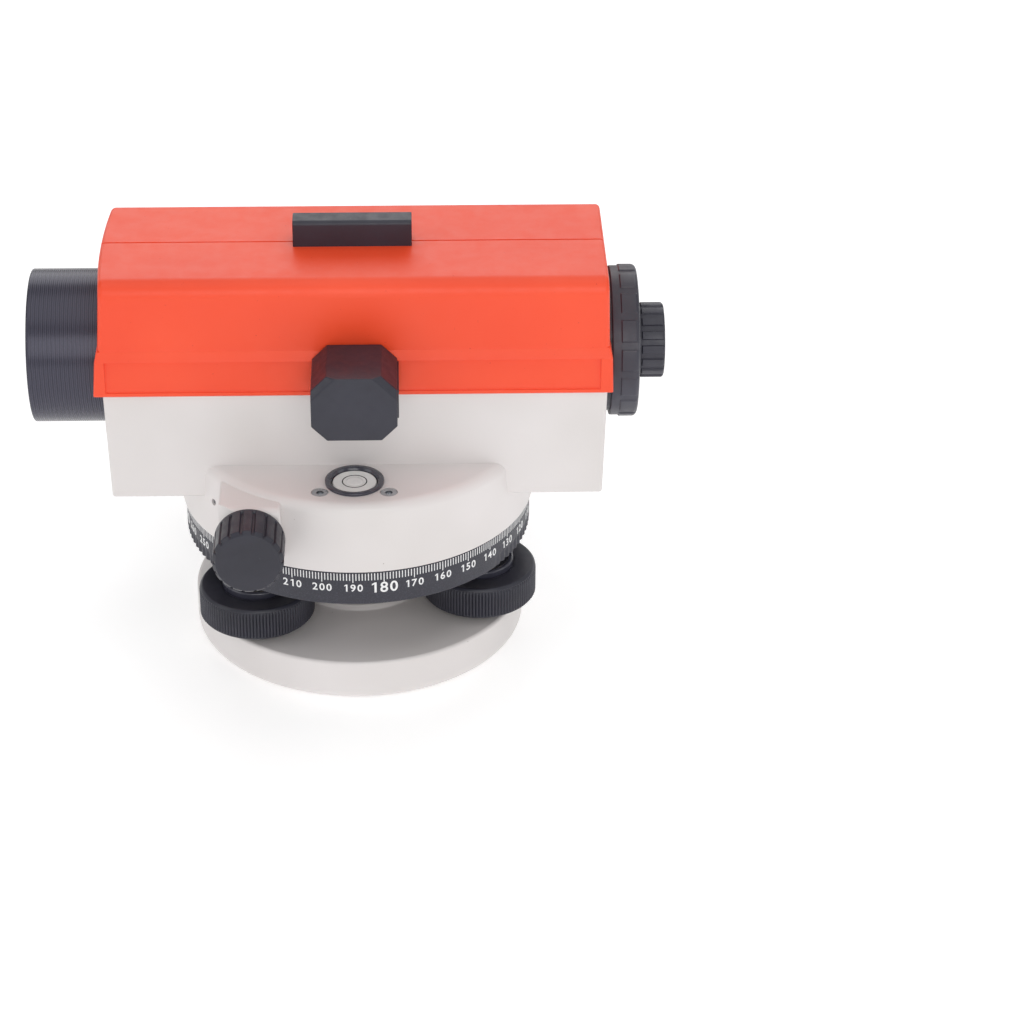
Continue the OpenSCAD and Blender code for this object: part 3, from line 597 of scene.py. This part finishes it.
def make_base_plate():
    low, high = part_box("base_plate")
    radius = high.x
    top = high.z - 2 * MM
    lip_r, well_r = 22.3 * MM, 20.7 * MM
    insert_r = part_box("tripod_insert")[1].x
    plate = lathe(rounded([
        (insert_r, low.z, 0), (radius, low.z, 3.5 * MM), (radius, top, 1.1 * MM),
        (lip_r, top, 0.5 * MM), (lip_r, high.z, 0.5 * MM), (well_r, high.z, 0.4 * MM),
        (well_r, top - 3 * MM, 0.5 * MM), (insert_r, top - 3 * MM, 0),
    ], 6))
    steps = []
    for name in FOOT_NAMES:
        seat_low, seat_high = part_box(f"ball_seat_{name}")
        centre = (seat_low + seat_high) / 2
        for pocket_r, bottom in ((7.4 * MM, 3.5 * MM), (11.7 * MM, 12.6 * MM)):
            steps.append(("DIFFERENCE", rod(pocket_r, bottom, 20 * MM, (centre.x, centre.y, 0))))
    piece("base_casting", carve(plate, steps), "base", "white_paint", ["base_plate"])


def make_foot_knob(name):
    """One foot screw's knob: ribbed rim, flat top, and the collar and dust cap over its bush."""
    low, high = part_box(f"foot_knob_{name}")
    centre = (low + high) / 2
    radius = (high.x - low.x) / 2
    collar_r, collar_h = 11 * MM, 2.2 * MM
    height = high.z - low.z - collar_h
    bore = 4.0 * MM
    rib_count = 108
    ring_gap = 0.35  # mm between the wall's rings of points, which carry the ribs
    ring_count = int((height / MM - 2.6) / ring_gap)
    rim = lathe(
        rounded([(bore, 0, 0), (radius - 1.2 * MM, 0, 0.3 * MM), (radius, 1.0 * MM, 0.4 * MM)])
        + [(radius, (1.2 + index * ring_gap) * MM) for index in range(ring_count)]
        + rounded([
            (radius, height - 1.1 * MM, 0.2 * MM), (radius - 0.9 * MM, height, 0.5 * MM),
            (collar_r + 0.6 * MM, height, 0.2 * MM), (collar_r - 0.4 * MM, height - 0.5 * MM, 0.2 * MM),
            (bore, height - 0.5 * MM, 0),
        ]),
        rib_count * 8,
        ribs(rib_count, 0.4 * MM, radius - 0.35 * MM, 0.7 * MM, height - 0.9 * MM, 0.9 * MM),
    )
    place = (centre.x, centre.y, low.z)
    body = f"foot_screw_{name}"
    piece(f"foot_knob_grip_{name}", placed(rim, place), body, "black_plastic", [f"foot_knob_{name}"], 30)
    collar_in, cap_r, cap_h = 8.0 * MM, 8.1 * MM, height + 0.7 * MM
    collar = lathe(rounded([
        (collar_in, height - 0.4 * MM, 0), (collar_r, height - 0.4 * MM, 0),
        (collar_r, height + collar_h, 0.7 * MM), (collar_r - 1.6 * MM, height + collar_h, 0.4 * MM),
        (collar_r - 2 * MM, cap_h, 0.3 * MM), (collar_in, cap_h, 0),
    ]), 128)
    piece(f"foot_collar_{name}", placed(collar, place), body, "black_plastic", material=COLLAR_PLASTIC)
    cap = lathe(rounded([
        (bore, height - 0.3 * MM, 0), (cap_r, height - 0.3 * MM, 0), (cap_r, cap_h, 0.3 * MM),
        (5.6 * MM, cap_h, 0.6 * MM), (4.9 * MM, height + 2.4 * MM, 0.4 * MM),
        (bore, height + 2.4 * MM, 0),
    ]), 96)
    piece(f"foot_dust_cap_{name}", placed(cap, place), body, "black_plastic")


# ---------------------------------------------------------------- horizontal circle

CIRCLE_LOW, CIRCLE_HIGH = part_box("horizontal_circle")
CIRCLE_R = CIRCLE_HIGH.x
MARK_180 = math.radians(-81.1)  # where the figure 180 stands, from +X
MARK_PROUD, MARK_SUNK = 0.03 * MM, 0.05 * MM  # how far marks stand out of the wall, and reach into it


def grip_sector(angle, radius, height):
    """Scallops along the wall's lower edge, in two sectors that the fingers turn it by."""
    if radius < CIRCLE_R - 0.4 * MM:
        return radius
    scallops, depth = 120, 0.55 * MM
    side = abs(math.cos(angle - math.radians(9)))
    sector = smooth_step(side, 0.66, 0.74)
    low = 1 - smooth_step(height, CIRCLE_LOW.z + 2.6 * MM, CIRCLE_LOW.z + 5 * MM)
    return radius - depth * sector * low * (0.5 - 0.5 * math.cos(scallops * angle))


def make_circle():
    wall = CIRCLE_R - 2.5 * MM
    web_low, web_high = 45.5 * MM, 47.3 * MM
    bore = 14.05 * MM
    low, high = CIRCLE_LOW.z, CIRCLE_HIGH.z
    outer = [(CIRCLE_R, low + (0.6 + step * 0.6) * MM) for step in range(11)]
    outline = rounded([(wall, low, 0.3 * MM), (CIRCLE_R, low, 0.4 * MM), (CIRCLE_R, low + 0.8 * MM, 0)])
    outline += outer[1:] + rounded([
        (CIRCLE_R, high - 1 * MM, 0), (CIRCLE_R, high, 0.3 * MM), (wall, high, 0.2 * MM),
        (wall, web_high, 0), (bore, web_high, 0), (bore, web_low, 0), (wall, web_low, 0),
        (wall, low + 1 * MM, 0),
    ])
    ring = lathe(outline, 960, grip_sector)
    piece("circle_wall", ring, "circle", "circle_black", ["horizontal_circle"], 30)


def bend_on(mesh_data, degree, height):
    """Bends a flat drawing, X across and Y up, round the circle's wall where a degree stands."""
    angle = MARK_180 + math.radians(180 - degree)
    for vert in mesh_data.verts:
        across, up, out = vert.co
        turn = angle + across / CIRCLE_R
        reach = CIRCLE_R + out
        vert.co = (reach * math.cos(turn), reach * math.sin(turn), height + up)


def make_marks():
    """One line a degree, and a longer one every ten."""
    width = 0.29 * MM
    top = CIRCLE_HIGH.z - 0.35 * MM
    marks = bmesh.new()
    for degree in range(360):
        length = (3.2 if degree % 10 == 0 else 2.45) * MM
        mark = block((-width / 2, -length, -MARK_SUNK), (width / 2, 0, MARK_PROUD))
        bend_on(mark, degree, top)
        join_into(marks, mark)
    piece("circle_marks", marks, "circle", "circle_black", material=MARK_WHITE)


def figure_mesh(digit):
    """A bmesh of one figure, lying flat with X across and Y up, about 1 high."""
    half_depth = 0.02
    curve = bpy.data.curves.new("figure", "FONT")
    curve.body = digit
    curve.size = 1.37
    curve.offset = 0.024
    curve.extrude = half_depth
    curve.resolution_u = 4
    made = bpy.data.objects.new("figure", curve)
    bpy.context.scene.collection.objects.link(made)
    mesh = evaluated_mesh(made)
    drawn = bmesh.new()
    drawn.from_mesh(mesh)
    bpy.data.objects.remove(made)
    bpy.data.curves.remove(curve)
    bpy.data.meshes.remove(mesh)
    if digit == "1":
        stem = min(vert.co.x for vert in drawn.verts) + 0.02
        tip = stem - 0.22
        top = max(vert.co.y for vert in drawn.verts)
        flag = [(stem, top), (tip, top - 0.14), (tip, top - 0.28), (stem, top - 0.16)]
        join_into(drawn, prism(flag, "Z", -half_depth, half_depth))
    return drawn


def make_figures():
    """The circle's figures, one number every ten degrees, the quarter ones larger."""
    figures = bmesh.new()
    centre_z = 42.95 * MM
    stretch = 1.02
    for degree in range(0, 360, 10):
        height, spacing = (3.7 * MM, 0.83) if degree % 90 == 0 else (2.55 * MM, 0.86)
        digits = str(degree)
        for index, digit in enumerate(digits):
            drawn = figure_mesh(digit)
            across = [vert.co.x for vert in drawn.verts]
            centre = (min(across) + max(across)) / 2
            shift = (index - (len(digits) - 1) / 2) * (spacing * height)
            for vert in drawn.verts:
                vert.co.x = (vert.co.x - centre) * height * stretch + shift
                vert.co.y *= height
                vert.co.z = MARK_PROUD if vert.co.z > 0 else -MARK_SUNK
            bend_on(drawn, degree, centre_z - height / 2)
            join_into(figures, drawn)
    piece("circle_figures", figures, "circle", "circle_black", material=MARK_WHITE)


# ---------------------------------------------------------------- housing

LEDGE_Z = 72 * MM
TROUGH_Z = 61 * MM
AXIS_Z = middle_of("objective_barrel", "z")
BODY_HALF_Y = 29.5 * MM
WORM_X = middle_of("fine_knobs", "x")
WORM_Z = middle_of("fine_knobs", "z")


def end_holes():
    """The tools for the barrel's hole and the eyepiece's, through the housing and the cover."""
    axis = (0, 0, AXIS_Z)
    return [
        ("DIFFERENCE", rod(24 * MM, -95 * MM, -70 * MM, axis, TO_PLUS_X, 96)),
        ("DIFFERENCE", rod(22.4 * MM, 70 * MM, 90 * MM, axis, TO_PLUS_X, 96)),
    ]


def make_boss(side, turret_r):
    """A fine-drive boss, rounded along its top and cut to a curve round the vertical axis."""
    half_w = 9.5 * MM
    root, face = side * 20 * MM, side * 54.5 * MM
    bottom, top = 52 * MM, LEDGE_Z - 1.6 * MM
    outline = rounded([(root, bottom, 0), (face, bottom, 0.8 * MM), (face, top, 3 * MM), (root, top, 0)], 8)
    boss = prism(outline, "X", WORM_X - half_w, WORM_X + half_w)
    ease_edges(boss, 1.2 * MM, lambda edge: abs(middle(edge).x - WORM_X) > half_w * 0.99)
    return carve(boss, [("INTERSECT", rod(turret_r + 9 * MM, 0, 100 * MM, segments=256))])


def make_housing():
    low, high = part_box("housing")
    turret_r = high.y
    turret = lathe(rounded([
        (0, low.z, 0), (turret_r, low.z, 0.5 * MM),
        (turret_r - 1 * MM, LEDGE_Z, 3.5 * MM), (0, LEDGE_Z, 0),
    ], 8), 256)
    trough = prism([
        (low.x + 1 * MM, TROUGH_Z), (high.x - 1 * MM, TROUGH_Z), (high.x, high.z), (low.x, high.z),
    ], "Y", -BODY_HALF_Y, BODY_HALF_Y)
    ease_edges(trough, 0.9 * MM, lambda edge: middle(edge).z < high.z - 1 * MM, 4)
    inside = block(
        (low.x + 4 * MM, 3 * MM - BODY_HALF_Y, LEDGE_Z - 1 * MM),
        (high.x - 4 * MM, BODY_HALF_Y - 3 * MM, 110 * MM),
    )
    well = rod(turret_r - 4 * MM, 0, low.z + 19.2 * MM, segments=128)
    worm_bore = rod(5 * MM, -70 * MM, 70 * MM, (WORM_X, 0, WORM_Z), TO_PLUS_Y)
    focus_bore = rod(5 * MM, 20 * MM, 40 * MM, (-10 * MM, 0, 90 * MM), TO_PLUS_Y)
    bubble_seat = rod(9.1 * MM, 60 * MM, 80 * MM, (*BUBBLE, 0), segments=96)
    set_screw_turn = Matrix.Rotation(math.radians(-142.5), 4, "Z") @ TO_PLUS_X
    set_screw_hole = rod(1.1 * MM, 45 * MM, 60 * MM, (0, 0, 61.5 * MM), set_screw_turn, 32)
    steps = [("UNION", trough)]
    steps += [("UNION", make_boss(side, turret_r)) for side in (-1, 1)]
    steps += [("DIFFERENCE", well), ("DIFFERENCE", inside), *end_holes()]
    steps += [("DIFFERENCE", tool) for tool in (worm_bore, focus_bore, bubble_seat, set_screw_hole)]
    for screw_x, screw_y in BUBBLE_SCREWS:
        place = (screw_x, screw_y, 0)
        steps.append(("DIFFERENCE", rod(2.7 * MM, LEDGE_Z - 2 * MM, 80 * MM, place, segments=48)))
        steps.append(("DIFFERENCE", rod(1.3 * MM, 60 * MM, 80 * MM, place, segments=32)))
    piece("housing_casting", carve(turret, steps), "alidade", "white_paint", ["housing"], 32)


# ---------------------------------------------------------------- circular bubble

BUBBLE_LOW, BUBBLE_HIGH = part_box("bubble_vial")
BUBBLE = ((BUBBLE_LOW.x + BUBBLE_HIGH.x) / 2, (BUBBLE_LOW.y + BUBBLE_HIGH.y) / 2)
BUBBLE_R = (BUBBLE_HIGH.x - BUBBLE_LOW.x) / 2
BUBBLE_SCREWS = ((-10.7 * MM, -46.3 * MM), (10.3 * MM, -46.6 * MM))


def make_bubble():
    """The vial as it is seen: pale cell with a glossy coat, fine black circle, bubble of air, and the black
    ring.
    """
    place = (*BUBBLE, 0)
    top = BUBBLE_HIGH.z
    ring_low, ring_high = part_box("bubble_housing")
    ring_r = (ring_high.x + ring_low.x) / 2 - BUBBLE[0] + 8.93 * MM
    ring = lathe(rounded([
        (ring_r - 2.08 * MM, ring_low.z, 0), (ring_r, ring_low.z, 0), (ring_r, ring_high.z, 0.35 * MM),
        (ring_r - 1.5 * MM, ring_high.z, 0.2 * MM), (ring_r - 2.05 * MM, ring_high.z - 0.8 * MM, 0.15 * MM),
    ]), 128)
    piece(
        "bubble_ring", placed(ring, place), "alidade", "black_plastic", ["bubble_housing"],
        material=COLLAR_PLASTIC,
    )
    cell_low = 67.6 * MM
    cell = lathe(rounded([
        (0, cell_low, 0), (BUBBLE_R, cell_low, 0), (BUBBLE_R, top - 0.3 * MM, 0.5 * MM),
        (0, top - 0.4 * MM, 0),
    ]), 96)
    piece(
        "bubble_cell", placed(cell, place), "alidade", "bubble_fluid", ["bubble_vial"],
        material=VIAL_WHITE,
    )
    line_in, line_out = 3.55 * MM, 3.9 * MM
    line_low, line_high = top - 0.5 * MM, top - 0.33 * MM
    line = lathe([
        (line_in, line_low), (line_out, line_low), (line_out, line_high), (line_in, line_high),
    ], 96)
    piece("bubble_circle_line", placed(line, place), "alidade", "inner_black")
    air = lathe(rounded([
        (0, top - 0.5 * MM, 0), (2.9 * MM, top - 0.5 * MM, 0.2 * MM),
        (2.2 * MM, top - 0.16 * MM, 1.2 * MM), (0, top - 0.04 * MM, 0),
    ], 6), 64)
    piece("bubble_air", placed(air, place), "alidade", "bubble_fluid", material=BUBBLE_AIR)


def make_hood():
    """The housing of the bubble's prism, with its corner facets and the window's frame."""
    low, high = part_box("prism_housing")
    cut = 4.7 * MM
    facet_depth = 1.3 * MM
    outline = [
        (low.x + cut, low.z), (high.x - cut, low.z), (high.x, low.z + cut), (high.x, high.z - cut),
        (high.x - cut, high.z), (low.x + cut, high.z), (low.x, high.z - cut), (low.x, low.z + cut),
    ]
    hood = prism(outline, "Y", low.y, high.y)
    for side in (-1, 1):
        corner = (high.x - cut / 2 if side > 0 else low.x + cut / 2, low.y, high.z - cut / 2)
        normal = Vector((side * 0.5, -math.sqrt(0.5), 0.5))
        cut_faces = bmesh.ops.bisect_plane(
            hood, geom=hood.verts[:] + hood.edges[:] + hood.faces[:], dist=1e-7,
            plane_co=Vector(corner) - normal * facet_depth, plane_no=normal, clear_outer=True,
        )
        edges = [item for item in cut_faces["geom_cut"] if isinstance(item, bmesh.types.BMEdge)]
        bmesh.ops.contextual_create(hood, geom=edges)
    bmesh.ops.recalc_face_normals(hood, faces=hood.faces)
    ease_edges(hood, 0.35 * MM)
    chamber = block((-8 * MM, -50.6 * MM, low.z - 1 * MM), (9 * MM, -33 * MM, low.z + 16 * MM))
    window = block((5 * MM, -48.6 * MM, low.z + 5.5 * MM), (20 * MM, -35 * MM, low.z + 14.5 * MM))
    surround = block(
        (high.x - 0.5 * MM, -50.6 * MM, low.z + 6.2 * MM),
        (high.x + 0.45 * MM, -31.6 * MM, high.z - cut - 0.4 * MM),
    )
    ease_edges(surround, 0.25 * MM)
    hood = carve(hood, [("UNION", surround), ("DIFFERENCE", chamber), ("DIFFERENCE", window)])
    piece("prism_hood", hood, "alidade", "black_plastic", ["prism_housing"], 30)
    pane = block(
        (high.x - 0.6 * MM, -48.5 * MM, low.z + 5.6 * MM),
        (high.x - 0.1 * MM, -35.1 * MM, low.z + 14.4 * MM),
    )
    ease_edges(pane, 0.1 * MM)
    piece("prism_window", pane, "alidade", "glass")


# ---------------------------------------------------------------- cover and sight


def divided(outline, longest):
    """The outline again, with points added so that no step is longer than a given length."""
    points = []
    for here, following in zip(outline, outline[1:] + outline[:1]):
        count = max(1, math.ceil((following - here).length / longest))
        points.extend(here.lerp(following, step / count) for step in range(count))
    return points


def cover_form(inset, low_z):
    """The cover's closed form: a section with rounded shoulders between two leaning ends.

    Each end is made of rings that shrink to its middle, so that the objective end can bow
    outwards along the roof.
    """
    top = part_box("sight")[0].z - inset
    half = BODY_HALF_Y - inset
    shoulder = 5 * MM - inset / 2
    corners = [(-half, low_z, 0), (half, low_z, 0), (half, top, shoulder), (-half, top, shoulder)]
    section = divided(rounded(corners, 10), 4 * MM)
    centre = Vector((0, (low_z + top) / 2))
    lean_low, lean_high = 94.8, 135.2  # mm, the heights between which the ends lean
    rows = []
    for side, shares in ((-1, (0.2, 0.4, 0.6, 0.8, 1)), (1, (1, 0.8, 0.6, 0.4, 0.2))):
        for share in shares:
            row = []
            for point in section:
                across, up = centre.lerp(point, share)
                rise = (up - lean_low * MM) / (lean_high - lean_low)
                if side > 0:
                    along = 78.4 * MM - inset - 1.1 * rise
                else:
                    bow = 1.5 * MM * (1 - (across / half) ** 2) * smooth_step(up, 111 * MM, 131 * MM)
                    along = -78.6 * MM + inset + 3 * rise - bow
                row.append((along, across, up))
            rows.append(row)
    return loft(rows)


def sunk_panel(side, face, low_z):
    """The tool for a shallow panel in the band's side, deepest at its top, with leaning walls."""
    panel_low, panel_high = low_z + 1.8 * MM, low_z + 11.2 * MM
    middle_z = (panel_low + panel_high) / 2
    panel = block((-74.9 * MM, -0.75 * MM, panel_low), (74.8 * MM, 0.75 * MM, panel_high))
    for vert in panel.verts:
        lean = 0.5 * MM * (1 if vert.co.y * side > 0 else -1)
        vert.co.x += math.copysign(lean, vert.co.x)
        if vert.co.y * side < 0:
            vert.co.y -= side * (0.3 if vert.co.z > middle_z else -0.3) * MM
        vert.co.z += math.copysign(lean, vert.co.z - middle_z)
        vert.co.y += side * face
    ease_edges(panel, 0.12 * MM, segments=2)
    return panel


def make_cover():
    low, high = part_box("cover")
    form = cover_form(0, low.z)
    ease_edges(form, 1.4 * MM, lambda edge: middle(edge).z > low.z + 1 * MM, 8)
    band = stack([
        (low.x, high.x, high.y, low.z),
        (low.x + 0.9 * MM, high.x - 0.4 * MM, high.y, low.z + 11.8 * MM),
        (low.x + 1.6 * MM, high.x - 1.2 * MM, BODY_HALF_Y - 0.04 * MM, low.z + 15 * MM),
    ])
    ease_edges(band, 0.45 * MM, lambda edge: middle(edge).z < low.z + 14.9 * MM, 7)
    steps = [("UNION", band), ("DIFFERENCE", cover_form(2.5 * MM, low.z - 1 * MM))]
    steps += [("DIFFERENCE", sunk_panel(side, high.y, low.z)) for side in (-1, 1)]
    seam_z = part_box("sight")[0].z - 0.7 * MM
    seam = block((-100 * MM, -0.32 * MM, seam_z), (100 * MM, 0.32 * MM, seam_z + 2 * MM))
    steps += [("DIFFERENCE", seam), *end_holes()]
    piece("cover_moulding", carve(form, steps), "alidade", "orange_cover", ["cover"], 14)


def make_sight():
    low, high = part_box("sight")
    section = rounded([
        (low.y, low.z - 0.2 * MM, 0), (high.y, low.z - 0.2 * MM, 0),
        (high.y, high.z, 1.3 * MM), (low.y, high.z, 1.3 * MM),
    ], 8)
    sight = prism(section, "X", low.x, high.x)
    ease_edges(sight, 0.3 * MM, lambda edge: middle(edge).z > low.z)
    hole = rod(2.1 * MM, low.x - 2 * MM, high.x + 2 * MM, (0, 0, 138.6 * MM), TO_PLUS_X, 48)
    sight = carve(sight, [("DIFFERENCE", hole)])
    piece("sight_moulding", sight, "alidade", "black_plastic", ["sight"], 30)


# ---------------------------------------------------------------- telescope ends and knobs


def on_axis(mesh_data, x):
    """Lays a turned bmesh on the telescope's axis, from x towards the eyepiece."""
    return placed(mesh_data, (x, 0, AXIS_Z), TO_PLUS_X)


def grooves(radius, low, high, pitch, depth):
    """Outline points of fine turned grooves along a wall."""
    count = int((high - low) / pitch)
    points = []
    for index in range(count):
        start = low + (high - low) * index / count
        points += [(radius, start), (radius - depth, start + (high - low) / count / 2)]
    return points + [(radius, high)]


def make_barrel():
    low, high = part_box("objective_barrel")
    radius = high.y
    length = high.x - low.x
    mouth_r, step_r, seat_r = 21.5 * MM, 19.5 * MM, 17 * MM
    outer = grooves(radius, 1.6 * MM, length - 1 * MM, 0.42 * MM, 0.009 * MM)
    inner = grooves(mouth_r + 0.12 * MM, 1.2 * MM, 5.2 * MM, 0.5 * MM, 0.12 * MM)
    outline = rounded([(mouth_r, 0, 0.4 * MM), (radius, 0, 1.0 * MM), (radius, 1.2 * MM, 0)], 6)
    outline += outer + [
        (seat_r, length), (seat_r, 28 * MM), (step_r, 28 * MM), (step_r, 14 * MM), (mouth_r, 14 * MM),
    ] + inner[::-1]
    barrel = on_axis(lathe(outline, 256), low.x)
    piece("barrel_tube", barrel, "alidade", "black_barrel", ["objective_barrel"], 60)
    ring_low, ring_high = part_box("objective_ring")
    ring_in, ring_out, ring_length = 19.4 * MM, 21.45 * MM, ring_high.x - ring_low.x
    ring = lathe(rounded([
        (ring_in, 0, 0.5 * MM), (ring_out, 0, 0.3 * MM),
        (ring_out, ring_length, 0), (ring_in, ring_length, 0),
    ]), 160)
    piece("objective_clamp_ring", on_axis(ring, ring_low.x), "alidade", "inner_black", ["objective_ring"])
    lens_low, lens_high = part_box("objective_lens")
    lens_r, bulge = 21.3 * MM, 1.8 * MM
    curve_r = (lens_r * lens_r + bulge * bulge) / (2 * bulge)
    dome_r = [lens_r * step / 24 for step in range(25)]
    dome = [(reach, curve_r - math.sqrt(curve_r ** 2 - reach ** 2)) for reach in dome_r]
    glass = lathe(dome + [(lens_r, lens_high.x - lens_low.x), (0, lens_high.x - lens_low.x)], 128)
    piece("objective_glass", on_axis(glass, lens_low.x), "alidade", "glass", ["objective_lens"])


def make_eyepiece():
    low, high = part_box("eyepiece_cover")
    pad_r = 23.8 * MM
    sleeve_r = 23.4 * MM
    sleeve = 79.35 * MM - low.x
    pad_start = 82.0 * MM - low.x
    face = high.x - low.x
    bore = 9.5 * MM
    cover = lathe(
        rounded([
            (bore, 0, 0), (22 * MM, 0, 0.3 * MM), (22 * MM, sleeve - 0.1 * MM, 0),
            (sleeve_r, sleeve, 0.3 * MM), (sleeve_r, pad_start, 0.1 * MM),
            (pad_r, pad_start + 0.3 * MM, 0.15 * MM), (pad_r, face, 1.5 * MM),
            (13.2 * MM, face, 0.3 * MM), (12.6 * MM, face - 0.8 * MM, 0.3 * MM),
            (bore, face - 0.8 * MM, 0),
        ], 6),
        720, pads(16, sleeve_r, 2.6 * MM, 0.25 * MM, pad_start),
    )
    piece(
        "eyepiece_guard", on_axis(cover, low.x), "alidade", "black_plastic", ["eyepiece_cover"], 30,
        EYE_PLASTIC,
    )
    low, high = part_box("diopter_ring")
    radius = high.y
    length = high.x - low.x
    bore = 9.05 * MM
    ring = lathe(
        rounded([
            (bore, 0, 0), (radius - 0.5 * MM, 0, 0.3 * MM), (radius - 0.6 * MM, 1.0 * MM, 0.1 * MM),
            (radius, 1.2 * MM, 0.3 * MM), (radius, length, 1.6 * MM), (9.9 * MM, length, 0.3 * MM),
            (bore, length - 0.7 * MM, 0.2 * MM),
        ], 6),
        512, pads(16, radius - 0.6 * MM, 2.0 * MM, 0.18 * MM, 1.1 * MM),
    )
    piece(
        "diopter_grip", on_axis(ring, low.x), "diopter", "black_plastic", ["diopter_ring"], 30,
        EYE_PLASTIC,
    )


def knob_form(radius, length, count, groove):
    """A knob with a plain back rim, raised pads round it, and a flat face inside their ends."""
    return lathe(
        rounded([
            (0, 0, 0), (radius - 0.4 * MM, 0, 0.2 * MM), (radius, 0.5 * MM, 0.2 * MM),
            (radius, 1.5 * MM, 0.1 * MM), (radius - 0.02 * MM, 1.8 * MM, 0.1 * MM),
            (radius, length - 1.3 * MM, 0.5 * MM), (radius - 1.1 * MM, length - 0.15 * MM, 0.25 * MM),
            (radius - 2.2 * MM, length, 0), (0, length, 0),
        ], 5),
        count * 40, pads(count, radius - 0.6 * MM, groove, 0.16 * MM, 1.6 * MM),
    )


def make_knobs():
    low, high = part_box("fine_knobs")
    length = 14.5 * MM
    for name, turn, y in (("front", TO_MINUS_Y, low.y + length), ("back", TO_PLUS_Y, high.y - length)):
        knob = placed(knob_form((high.x - low.x) / 2, length, 18, 0.9 * MM), (WORM_X, y, WORM_Z), turn)
        piece(f"fine_knob_{name}", knob, "fine_drive", "black_plastic", ["fine_knobs"], 30)
    low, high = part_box("focus_knob")
    place = ((low.x + high.x) / 2, low.y, (low.z + high.z) / 2)
    knob = placed(knob_form((high.x - low.x) / 2, high.y - low.y, 20, 1.3 * MM), place, TO_PLUS_Y)
    piece("focus_knob_grip", knob, "focus_drive", "black_plastic", ["focus_knob"], 30)


# ---------------------------------------------------------------- CAD nodes


def dress_cad_nodes():
    """Gives every CAD node the material of its slot."""
    for part in frame["record"]["subparts"]:
        mesh = NODES[part["node"]].data
        mesh.materials.clear()
        mesh.materials.append(MATERIALS[part["material_slot"]])


dress_cad_nodes()
make_base_plate()
for foot in FOOT_NAMES:
    make_foot_knob(foot)
make_circle()
make_marks()
make_figures()
make_housing()
make_bubble()
make_hood()
make_cover()
make_sight()
make_barrel()
make_eyepiece()
make_knobs()
